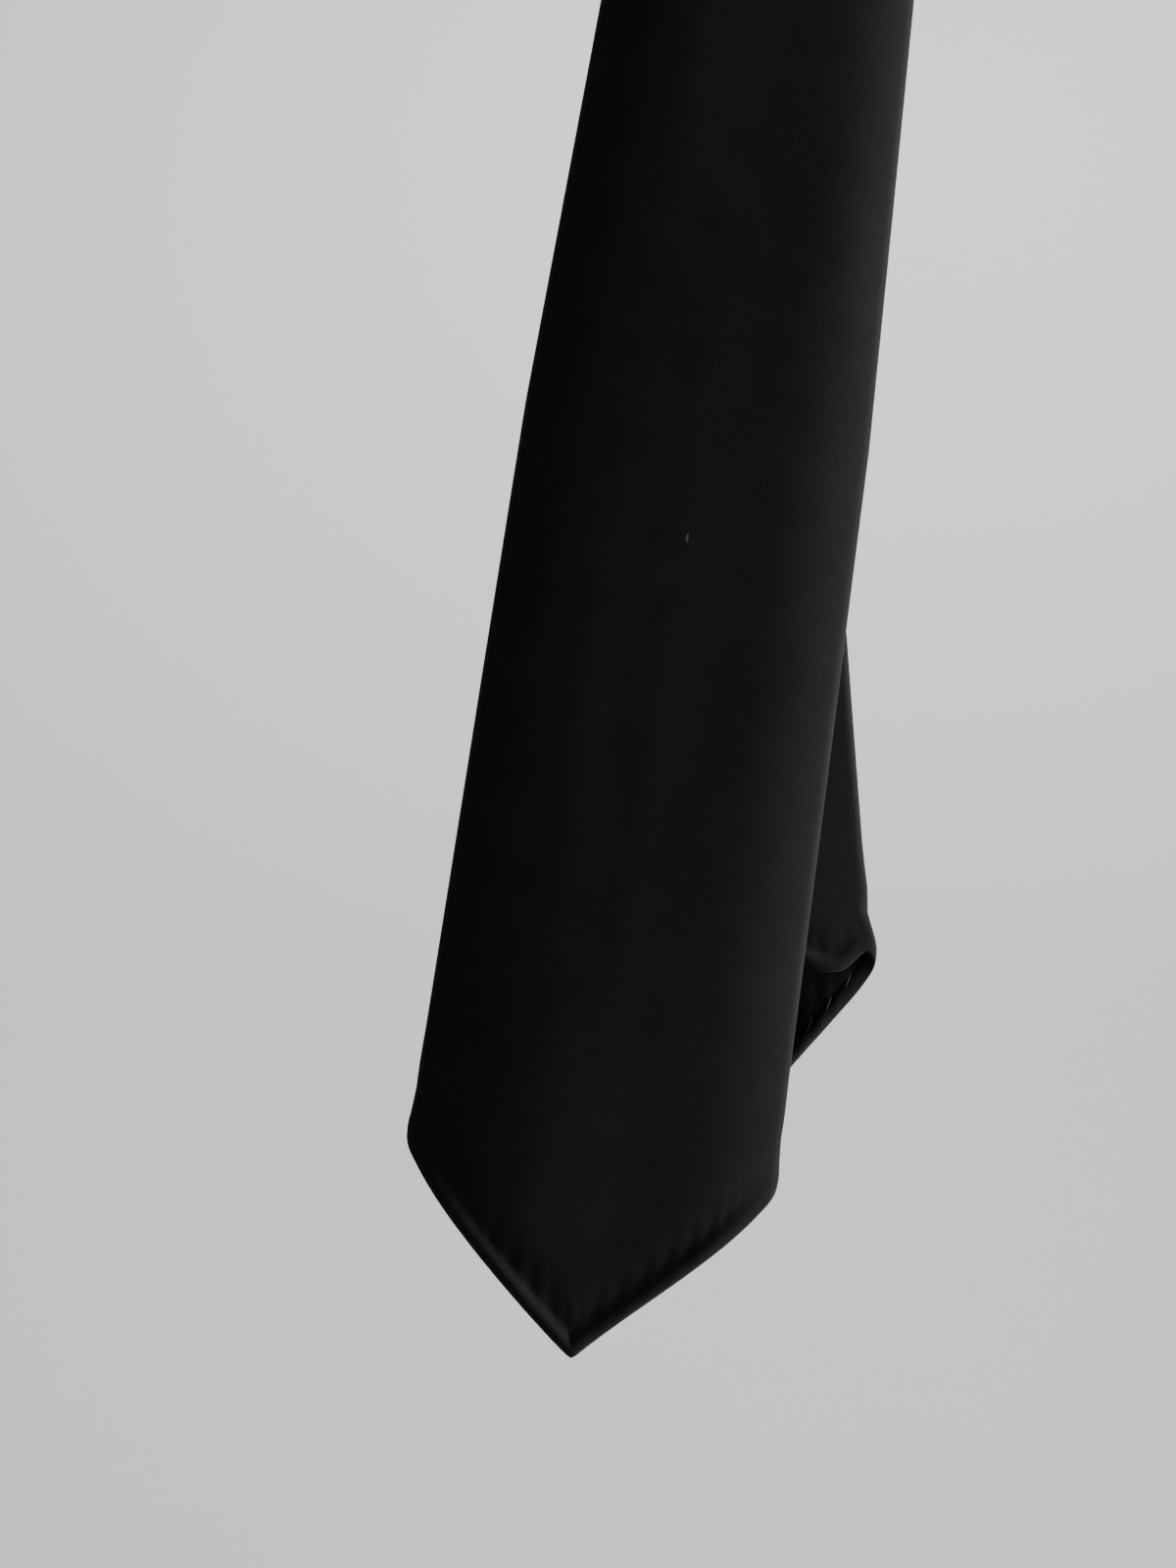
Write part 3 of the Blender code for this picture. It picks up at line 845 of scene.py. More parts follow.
class Cloth:
    """Makes sheets, threads and stitches into objects that ride on the frame."""

    MAP = "cloth"

    def __init__(self, wardrobe: Wardrobe) -> None:
        """Keeps the finishes.

        Args:
            wardrobe: The finishes of the slots.
        """
        self.wardrobe = wardrobe

    def dress(
        self, name: str, bm: bmesh.types.BMesh, slot: Slot, nodes: Iterable[str]
    ) -> bpy.types.Object:
        """Turns a mesh into a finished piece.

        Args:
            name: Name of the piece.
            bm: Its mesh, which is freed.
            slot: Material slot.
            nodes: Solids of the frame that it stands for.

        Returns:
            The piece.
        """
        for face in bm.faces:
            face.smooth = True
        mesh = bpy.data.meshes.new(name)
        bm.to_mesh(mesh)
        bm.free()
        mesh.materials.append(self.wardrobe.of(slot))
        piece = bpy.data.objects.new(name, mesh)
        bpy.context.scene.collection.objects.link(piece)
        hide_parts(*nodes)
        LOG.info("%s: %d faces", name, len(mesh.polygons))
        return piece

    def grid_mesh(self, grid: Grid, around: bool = False) -> bmesh.types.BMesh:
        """A mesh of a grid of places.

        Args:
            grid: The places.
            around: Whether the last column meets the first one, as on a tube.

        Returns:
            The mesh, with its flat places as a map.
        """
        bm = bmesh.new()
        made = bmesh.ops.create_grid(
            bm, x_segments=grid.columns - 1, y_segments=grid.rows - 1, size=1.0
        )
        flat = {}
        for vertex in made["verts"]:
            column = round((vertex.co.x + 1) / 2 * (grid.columns - 1))
            row = round((vertex.co.y + 1) / 2 * (grid.rows - 1))
            vertex.co = grid.places[row][column]
            flat[vertex] = grid.flat[row][column]
        layer = bm.loops.layers.uv.new(self.MAP)
        for face in bm.faces:
            for loop in face.loops:
                loop[layer].uv = flat[loop.vert]
        if around:
            bmesh.ops.remove_doubles(bm, verts=bm.verts, dist=1e-6)
            bmesh.ops.holes_fill(bm, edges=[e for e in bm.edges if e.is_boundary], sides=0)
            bmesh.ops.recalc_face_normals(bm, faces=bm.faces)
        return bm

    def sheet(
        self, name: str, grid: Grid, slot: Slot, thickness: float, nodes: Iterable[str]
    ) -> bpy.types.Object:
        """A sheet of cloth with a real thickness.

        Args:
            name: Name of the piece.
            grid: Places of its middle.
            slot: Material slot.
            thickness: Thickness of the cloth.
            nodes: Solids of the frame that it stands for.

        Returns:
            The piece.
        """
        bm = self.grid_mesh(grid)
        for edge in bm.edges:
            edge.smooth = not edge.is_boundary
        piece = self.dress(name, bm, slot, nodes)
        solid = piece.modifiers.new("thickness", "SOLIDIFY")
        solid.thickness = thickness
        solid.offset = 0.0
        return piece

    def tube(
        self, name: str, path: list[Vector], radius: float, slot: Slot, nodes: Iterable[str]
    ) -> bpy.types.Object:
        """A round thread along a path.

        Args:
            name: Name of the piece.
            path: Points of its middle.
            radius: Radius of the thread.
            slot: Material slot.
            nodes: Solids of the frame that it stands for.

        Returns:
            The piece.
        """
        sides = 6
        grid = Grid()
        run = 0.0
        for i, point in enumerate(path):
            ahead = path[min(i + 1, len(path) - 1)] - path[max(i - 1, 0)]
            first = ahead.cross(Vector((1.0, 0.0, 0.0))).normalized()
            second = ahead.cross(first).normalized()
            row = []
            for j in range(sides + 1):
                turn = 2 * math.pi * j / sides
                place = point + radius * (math.cos(turn) * first + math.sin(turn) * second)
                row.append((place, (radius * turn, run)))
            grid.add_row(row)
            run += (path[min(i + 1, len(path) - 1)] - point).length
        return self.dress(name, self.grid_mesh(grid, around=True), slot, nodes)

    def stitches(
        self, name: str, pairs: list[tuple[Vector, Vector]], radius: float, nodes: Iterable[str]
    ) -> bpy.types.Object:
        """Short stitches, each a plump little thread with round ends.

        Args:
            name: Name of the piece.
            pairs: Both ends of each stitch.
            radius: Radius of the thread.
            nodes: Solids of the frame that it stands for.

        Returns:
            The piece.
        """
        bm = bmesh.new()
        for start, end in pairs:
            reach = end - start
            turn = reach.to_track_quat("Z", "Y").to_matrix().to_4x4()
            shape = Matrix.Diagonal((radius, radius, reach.length / 2 + radius, 1.0))
            place = Matrix.Translation((start + end) / 2) @ turn @ shape
            bmesh.ops.create_uvsphere(bm, u_segments=8, v_segments=6, radius=1.0, matrix=place)
        return self.dress(name, bm, Slot.THREAD, nodes)


# --- Pieces -------------------------------------------------------------------------------------
@dataclass(frozen=True)
class Zone:
    """The stretch over which cloth bends between the neck and a blade."""

    body: Body
    start: Vector
    end: Vector

    def join(self, piece: bpy.types.Object) -> None:
        """Bakes a piece's placement into its mesh."""
        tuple(self.start)
        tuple(self.end)
        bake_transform(piece)


def zone_of(blade: BladeShape, hinge_height: float, side_depth: float, reach: float = 0.048) -> Zone:
    """The zone centred on a blade's hinge.

    Args:
        blade: The blade.
        hinge_height: Height of the hinge.
        side_depth: Place of the hinge along Y.
        reach: Half the length of the zone.

    Returns:
        The zone.
    """
    start = Vector((0.0, side_depth, hinge_height + reach))
    end = Vector((0.0, side_depth, hinge_height - reach))
    return Zone(blade.body, start, end)


@dataclass(frozen=True)
class RolledHem:
    """A hand-rolled hem: the raw edge is rolled to the wrong side and caught in a groove."""

    roll_reach: float = 0.00150
    roll_height: float = 0.00095
    centre: tuple[float, float] = (0.00155, -0.00045)
    first_turn: float = 330.0
    last_turn: float = 50.0
    stitch: float = 0.0065
    groove_wave: float = 0.30
    roll_wave: float = 0.06
    turns: int = 16
    run_out: tuple[tuple[float, float], ...] = (
        (0.0031, -0.00003),
        (0.0036, -0.00026),
        (0.0042, -0.00040),
        (0.0049, -0.00043),
        (0.0058, -0.00036),
        (0.0070, -0.00024),
        (0.0085, -0.00011),
        (0.0105, 0.0),
    )

    def rows(self) -> list[tuple[float, float, float, bool]]:
        """Rows of the hem.

        Returns:
            For each row from the hidden raw edge to plain cloth: its distance in from the edge, its
            height, its distance along the cloth from the last row, and whether it is on the roll.
        """
        found = []
        for i in range(self.turns + 1):
            share = i / self.turns
            turn = math.radians(self.first_turn + share * (self.last_turn - self.first_turn))
            inward = self.centre[0] + self.roll_reach * math.cos(turn)
            height = self.centre[1] + self.roll_height * math.sin(turn)
            found.append((inward, height, True))
        found += [(inward, height, False) for inward, height in self.run_out]
        runs = [0.0]
        for here, there in zip(found[::-1], found[-2::-1]):
            runs.append(runs[-1] + math.hypot(here[0] - there[0], here[1] - there[1]))
        return [(*row[:2], run, row[2]) for row, run in zip(found, runs[::-1])]


@dataclass
class Panel:
    """A folded shell of the tie, between two edges."""

    hang: Hang
    cloth: Cloth
    row_step: float = 0.0032
    column_step: float = 0.00095
    seam_dip: float = 0.0004
    seam_reach: float = 0.0016
    thickness: float = 0.0005
    slot: Slot = Slot.SHELL

    def dip(self, from_seam: float) -> float:
        """How far the cloth turns in at a seam."""
        return -self.seam_dip * (1 - smooth_step(0.0, self.seam_reach, from_seam))

    def spot(self, station: Station, along: float, height: float, spread: float = 0.0) -> Vector:
        """Place of a station.

        Args:
            station: The station.
            along: Distance along the tie.
            height: How far it is raised from the cloth's outer side.
            spread: How far the side folds open sideways there.

        Returns:
            The world place.
        """
        across = station.across + station.out_across * height
        near_fold = smooth_step(0.62, 1.0, abs(station.across) / (self.hang.width_at(along) / 2))
        across += math.copysign(near_fold * spread, station.across)
        return self.hang.place(along, across, station.depth + station.out_depth * height)

    def blade(self, shape: BladeShape, hem: RolledHem) -> Grid:
        """The pointed shell of a blade.

        Args:
            shape: The blade.
            hem: Its hem.

        Returns:
            The grid, from the hem to the bias seam.
        """
        section = Section(self.hang, face_steps=round(shape.width / 2 / self.column_step))
        columns = section.columns()
        last = hem.run_out[-1][0]
        hems = []
        tops = []
        for column in columns:
            reach = shape.length
            for _ in range(6):
                unfolded = section.at(shape.width_at(reach), column).unfolded
                reach = shape.length - shape.drop(unfolded)
            hems.append((reach, unfolded, shape.pitch(unfolded)))
            across = section.at(shape.width_at(shape.seam), column).across
            tops.append(self.hang.seam_line(shape, across))
        grid = Grid()
        for inward, height, run, on_roll in hem.rows():
            row = []
            for column, (reach, unfolded, pitch) in zip(columns, hems):
                phase = 2 * math.pi * unfolded * pitch / hem.stitch
                wave = -hem.roll_wave if on_roll else hem.groove_wave
                along = reach - inward * pitch
                station = section.at(shape.width_at(along), column)
                raised = height * station.room * (1 + wave * math.cos(phase))
                flat = (unfolded, shape.side * (reach - last * pitch + run))
                spread = shape.opening(inward)
                row.append((self.spot(station, shape.side * along, raised, spread), flat))
            grid.add_row(row)
        for share in self.shares((shape.length - shape.seam) / self.row_step):
            row = []
            for column, (reach, _, pitch), top in zip(columns, hems, tops):
                low = reach - last * pitch
                along = low + share * (top - low)
                station = section.at(shape.width_at(along), column)
                flat = (station.unfolded, shape.side * along)
                spread = shape.opening((reach - along) / pitch)
                dip = self.dip(along - top)
                row.append((self.spot(station, shape.side * along, dip, spread), flat))
            grid.add_row(row)
        return grid

    def shares(self, rows: float) -> list[float]:
        """Shares of a panel's length at which its rows lie, closer together towards the seam."""
        count = math.ceil(rows)
        even = [i / count for i in range(1, count)]
        return even + [1 - left / count for left in (0.5, 0.25, 0.1, 0.0)]

    def neck(self, shape: BladeShape, width_step: int) -> Grid:
        """Half of the plain shell that goes round the neck, from the top of the fold to a bias seam.

        Args:
            shape: The blade on that side.
            width_step: Number of columns on half of its face.

        Returns:
            The grid.
        """
        section = Section(self.hang, face_steps=width_step)
        columns = section.columns()
        bend = self.hang.bend_run
        starts = [0.0, 0.00015] + evenly(0.0006, bend, 0.0006)
        tops = []
        for column in columns:
            across = section.at(shape.width_at(shape.seam), column).across
            tops.append(self.hang.seam_line(shape, across))
        grid = Grid()
        for along in starts:
            row = []
            for column in columns:
                station = section.at(shape.width_at(along), column)
                flat = (station.unfolded, shape.side * along)
                row.append((self.spot(station, shape.side * along, 0.0), flat))
            grid.add_row(row)
        for share in self.shares((shape.seam - bend) / self.row_step):
            row = []
            for column, top in zip(columns, tops):
                along = bend + share * (top - bend)
                station = section.at(shape.width_at(along), column)
                flat = (station.unfolded, shape.side * along)
                row.append((self.spot(station, shape.side * along, self.dip(top - along)), flat))
            grid.add_row(row)
        return grid


@dataclass
class Core:
    """The wool interlining of a stretch of the tie."""

    hang: Hang
    cloth: Cloth
    columns: int = 18
    row_step: float = 0.004
    bend_step: float = 0.001
    thickness: float = 0.0009
    slot: Slot = Slot.INTERLINING

    def seam_end(self, shape: BladeShape, share: float) -> float:
        """Where a column meets the bias seam, as a distance from the top of the fold."""
        across = share * (shape.width_at(shape.seam) / 2 - self.hang.fold_radius)
        return self.hang.seam_line(shape, across)

    def row(self, alongs: Callable[[float], float], side: int) -> Row:
        """One row across the core.

        Args:
            alongs: Distance along the tie, for a share across from -1 to 1.
            side: Side of the fold.

        Returns:
            Places and flat places.
        """
        found = []
        for i in range(-self.columns, self.columns + 1):
            share = i / self.columns
            along = side * alongs(share)
            half = self.hang.width_at(along) / 2 - self.hang.fold_radius
            place = self.hang.place(along, share * half, self.hang.core_depth)
            found.append((place, (share * half, along)))
        return found

    def blade(self, shape: BladeShape, hem_room: float) -> Grid:
        """The core of a blade, which stops short of the open V.

        Args:
            shape: The blade.
            hem_room: Room left for the rolled hem.

        Returns:
            The grid.
        """
        half = shape.width / 2 - self.hang.fold_radius

        def low(share: float) -> float:
            """Lower end of a column."""
            back = 2 * half + math.pi * self.hang.fold_radius
            return shape.length - shape.drop(back - abs(share) * half) - hem_room

        def along(share: float, rise: float) -> float:
            """A column's place between its lower end and the seam."""
            return low(share) + rise * (self.seam_end(shape, share) - low(share))

        grid = Grid()
        for rise in evenly(0.0, 1.0, self.row_step / (shape.length - shape.seam)):
            grid.add_row(self.row(lambda share, r=rise: along(share, r), shape.side))
        return grid

    def neck(self, shape: BladeShape) -> Grid:
        """Half of the core that goes round the neck."""
        bend = self.hang.bend_run

        def along(share: float, fall: float) -> float:
            """A column's place between the end of the bend and the seam."""
            return bend + fall * (self.seam_end(shape, share) - bend)

        grid = Grid()
        for reach in evenly(0.0, bend, self.bend_step)[:-1]:
            grid.add_row(self.row(lambda share, r=reach: r, shape.side))
        for fall in evenly(0.0, 1.0, self.row_step / (shape.seam - bend)):
            grid.add_row(self.row(lambda share, f=fall: along(share, f), shape.side))
        return grid


@dataclass
class Sewing:
    """The threads of one side of the tie."""

    hang: Hang
    cloth: Cloth
    shape: BladeShape
    hem: RolledHem
    slip_length: float = 0.015
    slip_sway: float = 0.0012
    tack_above_opening: float = 0.012
    tack_length: float = 0.009
    tack_step: float = 0.00042
    tack_half_height: float = 0.00065
    tack_slant: float = 0.00018
    tack_radius: float = 0.00026
    seam_stitch: float = 0.0030
    zigzag: float = 0.0014
    zigzag_step: float = 0.0018
    hem_slant: float = 0.0007
    hem_radius: float = 0.00016
    radius: float = 0.0002

    def at(self, reach: float, across: float, depth: float) -> Vector:
        """World place on this side of the fold."""
        return self.hang.place(self.shape.side * reach, across, depth)

    def slip_stitch(self, name: str, start: float, end: float, node: str) -> bpy.types.Object:
        """The long running thread between the two lapped flaps.

        Args:
            name: Name of the piece.
            start: Distance from the top of the fold where it starts.
            end: Distance where it ends.
            node: Solid of the frame that it stands for.

        Returns:
            The piece.
        """
        depth = (self.hang.over_flap + self.hang.under_flap) / 2
        step = 0.0012 if start == 0 else 0.003
        path = []
        for reach in evenly(start, end, step):
            sway = self.slip_sway * math.sin(math.pi * reach / self.slip_length)
            path.append(self.at(reach, sway, depth))
        return self.cloth.tube(name, path, self.radius, Slot.THREAD, [node])

    def bar_tack(self, name: str, node: str) -> bpy.types.Object:
        """The thick bar of overcast stitches over the open V."""
        reach = self.shape.opening_top - self.tack_above_opening
        half = self.tack_length / 2
        pairs = []
        for across in evenly(-half, half, self.tack_step):
            depth = 0.0013 * (1 - smooth_step(-0.0049, -0.0041, across)) - 0.00025
            start = self.at(reach - self.tack_half_height, across, depth)
            end = self.at(reach + self.tack_half_height, across + self.tack_slant, depth)
            pairs.append((start, end))
        ends = (self.at(reach, -half + 0.0004, 0.0), self.at(reach, half, -0.0001))
        return self.cloth.stitches(name, pairs + [ends], self.tack_radius, [node])

    def hem_stitches(self, name: str, side: int, node: str) -> bpy.types.Object:
        """Slanted hand stitches that hold a rolled hem down, with tiny pricks on the face.

        Args:
            name: Name of the piece.
            side: -1 for the left half of the point and 1 for the right half.
            node: Solid of the frame that it stands for.

        Returns:
            The piece.
        """
        shape, hang = self.shape, self.hang
        flat = shape.width / 2 - hang.fold_radius
        pitch = shape.pitch(flat / 2)
        pairs = []
        for i in range(1, int(flat * pitch / self.hem.stitch) + 1):
            across = i * self.hem.stitch / pitch
            edge = shape.length - shape.drop(across)

            def spot(inward: float, height: float, shift: float) -> Vector:
                """Place near the hem."""
                depth = hang.face_depth + height
                return self.at(edge - inward * pitch, side * (across + shift), depth)

            on_roll = spot(0.0021, -0.00150, -self.hem_slant)
            pairs.append((on_roll, spot(0.0042, -0.00100, self.hem_slant)))
            pairs.append((spot(0.0032, -0.00022, 0.0), spot(0.0037, -0.00022, 0.0)))
        return self.cloth.stitches(name, pairs, self.hem_radius, [node])

    def on_seam(self, across: float, depth: float, shift: float = 0.0) -> Vector:
        """World place on the bias seam, or a little above or below it."""
        return self.at(self.hang.seam_line(self.shape, across) + shift, across, depth)

    def seam_stitches(self, name: str, node: str) -> bpy.types.Object:
        """Machine stitches down in the bias seam of the shell."""
        half = self.shape.width_at(self.shape.seam) / 2 - self.hang.fold_radius
        depth = self.hang.face_depth - 0.00045
        pairs = []
        for across in evenly(-half, half - self.seam_stitch, self.seam_stitch):
            end = across + 0.75 * self.seam_stitch
            pairs.append((self.on_seam(across, depth), self.on_seam(end, depth)))
        return self.cloth.stitches(name, pairs, self.radius, [node])

    def core_stitches(self, name: str, node: str) -> bpy.types.Object:
        """Zigzag stitches that join the butted ends of the interlining."""
        half = self.shape.width_at(self.shape.seam) / 2 - self.hang.fold_radius - 0.001
        depth = self.hang.core_depth + 0.0004
        places = []
        for i, across in enumerate(evenly(-half, half, self.zigzag_step)):
            shift = self.zigzag if i % 2 else -self.zigzag
            places.append(self.on_seam(across, depth, shift))
        return self.cloth.stitches(name, list(zip(places, places[1:])), self.radius, [node])


@dataclass
class Keeper:
    """The band on the back of the wide blade, arched so that the tail can pass."""

    hang: Hang
    cloth: Cloth
    shape: BladeShape
    from_tip: float = 0.150
    width: float = 0.054
    height: float = 0.014
    room: float = 0.0054
    foot: float = 0.005
    half_thickness: float = 0.00065
    lowest: float = -0.00095
    column_step: float = 0.0008
    tack_reach: float = 0.0052
    tack_step: float = 0.0021
    tack_radius: float = 0.00022
    around: int = 40

    def lift(self, across: float) -> float:
        """Depth of the band's middle at one place across."""
        inside = self.width / 2 - abs(across)
        rise = smooth_step(self.foot, self.foot + 1.25 * self.room, inside)
        bow = 0.0006 * (1 - (2 * across / self.width) ** 2)
        return self.lowest - self.room * rise - bow * rise

    def band(self) -> Grid:
        """The folded strip, as a flattened tube."""
        middle = self.shape.length - self.from_tip
        grid = Grid()
        for across in evenly(-self.width / 2, self.width / 2, self.column_step):
            step = 0.0002
            slope = (self.lift(across + step) - self.lift(across - step)) / (2 * step)
            tilt = math.atan(slope)
            edge = self.width / 2 - abs(across)
            plump = math.sqrt(min(1.0, 0.25 + edge / 0.0012))
            row = []
            for i in range(self.around + 1):
                turn = 2 * math.pi * i / self.around
                side = math.copysign(abs(math.cos(turn)) ** 0.45, math.cos(turn))
                outward = math.copysign(abs(math.sin(turn)) ** 0.65, math.sin(turn))
                half = self.height / 2 * (0.985 + 0.015 * math.cos(across / 0.0047))
                rise = self.half_thickness * plump * outward
                depth = self.lift(across) + rise * math.cos(tilt)
                place = self.hang.place(middle + half * side, across - rise * math.sin(tilt), depth)
                row.append((place, (half * side + 0.016 * (outward > 0), across)))
            grid.add_row(row)
        return grid

    def make(self) -> bpy.types.Object:
        """Makes the band."""
        bm = self.cloth.grid_mesh(self.band(), around=True)
        piece = self.cloth.dress("folded_keeper_loop", bm, Slot.SHELL, ["keeper_loop"])
        return piece

    def tack(self, name: str, side: int, node: str) -> bpy.types.Object:
        """Overhand stitches that hold one foot of the band.

        Args:
            name: Name of the piece.
            side: -1 for the left foot and 1 for the right one.
            node: Solid of the frame that it stands for.

        Returns:
            The piece.
        """
        middle = self.shape.length - self.from_tip
        edge = side * self.width / 2
        depth = self.lowest - self.half_thickness
        pairs = []
        for shift in evenly(-self.tack_reach, self.tack_reach, self.tack_step):
            inner = self.hang.place(middle + shift, edge - side * 0.0026, depth)
            lip = self.hang.place(middle + shift + 0.0004, edge - side * 0.0002, depth + 0.0002)
            foot = self.hang.place(middle + shift + 0.0006, edge + side * 0.0005, -0.0001)
            pairs += [(inner, lip), (lip, foot)]
        return self.cloth.stitches(name, pairs, self.tack_radius, [node])


@dataclass
class Label:
    """A blank tape label with its ends turned under, sewn to the back of the tail."""

    hang: Hang
    cloth: Cloth
    shape: BladeShape
    from_tip: float = 0.130
    width: float = 0.024
    height: float = 0.040
    turned: float = 0.004
    thickness: float = 0.0003
    gap: float = 0.00030
    turn_radius: float = 0.00028
    stitch: float = 0.0022
    stitch_radius: float = 0.00014
    columns: int = 24

    def tape(self) -> Grid:
        """The tape, with both ends turned under."""
        middle = self.shape.length - self.from_tip
        half = self.height / 2
        radius = self.turn_radius
        upper = -self.gap - self.thickness / 2 - 2 * radius
        path = [(-half + self.turned, upper + 2 * radius)]
        for i in range(7):
            turn = math.pi * i / 6
            path.append((-half - radius * math.sin(turn), upper + radius * (1 + math.cos(turn))))
        path += [(reach, upper) for reach in evenly(-half, half, 0.002)[1:-1]]
        for i in range(7):
            turn = math.pi * i / 6
            path.append((half + radius * math.sin(turn), upper + radius * (1 - math.cos(turn))))
        path.append((half - self.turned, upper + 2 * radius))
        grid = Grid()
        run = 0.0
        for i, (reach, depth) in enumerate(path):
            row = []
            for j in range(-self.columns // 2, self.columns // 2 + 1):
                across = self.width * j / self.columns
                selvedge = 0.00010 if abs(across) > self.width / 2 - 0.0012 else 0.0
                lifted = depth - selvedge if abs(depth - upper) < radius else depth
                place = self.hang.place(-(middle + reach), across, lifted)
                row.append((place, (across, run)))
            grid.add_row(row)
            ahead = path[min(i + 1, len(path) - 1)]
            run += math.hypot(ahead[0] - reach, ahead[1] - depth)
        return grid

    def make(self) -> bpy.types.Object:
        """Makes the label."""
        grid = self.tape()
        piece = self.cloth.sheet("blank_label", grid, Slot.LABEL, self.thickness, ["care_label"])
        grid.flat_size()
        return piece

    def stitches(self, name: str, end: int, node: str) -> bpy.types.Object:
        """The row of stitches along one end.

        Args:
            name: Name of the piece.
            end: -1 for the top and 1 for the bottom.
            node: Solid of the frame that it stands for.

        Returns:
            The piece.
        """
        reach = self.shape.length - self.from_tip + end * (self.height / 2 - 0.0009)
        depth = -self.gap - 1.5 * self.thickness - 0.00060
        pairs = []
        for across in evenly(-self.width / 2 + 0.0006, self.width / 2 - self.stitch, self.stitch):
            start = self.hang.place(-reach, across, depth)
            pairs.append((start, self.hang.place(-reach - 0.0002, across + 0.0014, depth)))
        return self.cloth.stitches(name, pairs, self.stitch_radius, [node])


# --- Assembly -----------------------------------------------------------------------------------
@dataclass
class Side:
    """Everything on one side of the fold: half of the neck and one blade."""

    hang: Hang
    cloth: Cloth
    shape: BladeShape
    zone: Zone
    word: str
    neck_columns: int = 22
    hem_room: float = 0.009
    seam_room: float = 0.004
    above_opening: float = 0.006

    def build(self) -> None:
        """Builds and joins the pieces."""
        shape, word = self.shape, self.word
        hem = RolledHem()
        panel = Panel(self.hang, self.cloth)
        core = Core(self.hang, self.cloth)
        sewing = Sewing(self.hang, self.cloth, shape, hem)
        above = f"{word}_neck_shell"
        neck_end = shape.seam - self.seam_room
        run = (shape.seam + self.seam_room, shape.opening_top - self.above_opening)
        crossing = [
            self.drape(panel, above, panel.neck(shape, self.neck_columns), "neck_panel"),
            self.drape(
                panel, f"{word}_shell", panel.blade(shape, hem), f"{shape.name}_panel"
            ),
            self.drape(core, f"{word}_neck_core", core.neck(shape), "neck_interlining"),
            self.drape(
                core,
                f"{word}_core",
                core.blade(shape, self.hem_room),
                f"{shape.name}_interlining",
            ),
            sewing.slip_stitch(f"{word}_neck_slip_stitch", 0.0, neck_end, "neck_slip_stitch"),
            sewing.slip_stitch(f"{word}_slip_stitch", *run, f"{shape.name}_slip_stitch"),
            sewing.seam_stitches(f"{word}_seam_stitches", f"{shape.name}_seam_thread"),
            sewing.core_stitches(f"{word}_core_stitches", f"{shape.name}_interlining_thread"),
        ]
        for piece in crossing:
            self.zone.join(piece)
        riding = [sewing.bar_tack(f"{word}_bar_tack", f"{shape.name}_bar_tack")]
        for side, hand in ((-1, "left"), (1, "right")):
            node = f"{shape.name}_hem_thread_{hand}"
            riding.append(sewing.hem_stitches(f"{word}_hem_stitches_{hand}", side, node))
        for piece in riding + self.fittings():
            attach(piece, shape.body.value)

    def drape(
        self, maker: Panel | Core, name: str, grid: Grid, node: str
    ) -> bpy.types.Object:
        """Makes a shell or a core.

        Args:
            maker: What laid the grid out, with its slot and its thickness.
            name: Name of the piece.
            grid: Its grid.
            node: Solid of the frame that it stands for.

        Returns:
            The piece.
        """
        piece = self.cloth.sheet(name, grid, maker.slot, maker.thickness, [node])
        grid.flat_size()
        grid.flat_area()
        return piece

    def fittings(self) -> list[bpy.types.Object]:
        """What is sewn to the back of this blade."""
        if self.shape.body is Body.FRONT:
            keeper = Keeper(self.hang, self.cloth, self.shape)
            left = keeper.tack("keeper_stitches_left", -1, "keeper_tack_left")
            right = keeper.tack("keeper_stitches_right", 1, "keeper_tack_right")
            return [keeper.make(), left, right]
        label = Label(self.hang, self.cloth, self.shape)
        top = label.stitches("label_stitches_top", -1, "label_stitch_top")
        bottom = label.stitches("label_stitches_bottom", 1, "label_stitch_bottom")
        return [label.make(), top, bottom]


@dataclass(frozen=True)
class SoftBox:
    """One large, soft light."""

    name: str
    place: tuple[float, float, float]
    aim: tuple[float, float, float]
    size: tuple[float, float]
    watts: float

    def build(self) -> None:
        """Hangs the light."""
        data = bpy.data.lights.new(self.name, "AREA")
        data.shape = "RECTANGLE"
        data.size, data.size_y = self.size
        data.energy = self.watts
        lamp = bpy.data.objects.new(self.name, data)
        lamp.location = self.place
        lamp.rotation_euler = (Vector(self.aim) - lamp.location).to_track_quat("-Z", "Y").to_euler()
        lamp.visible_camera = False
        bpy.context.scene.collection.objects.link(lamp)


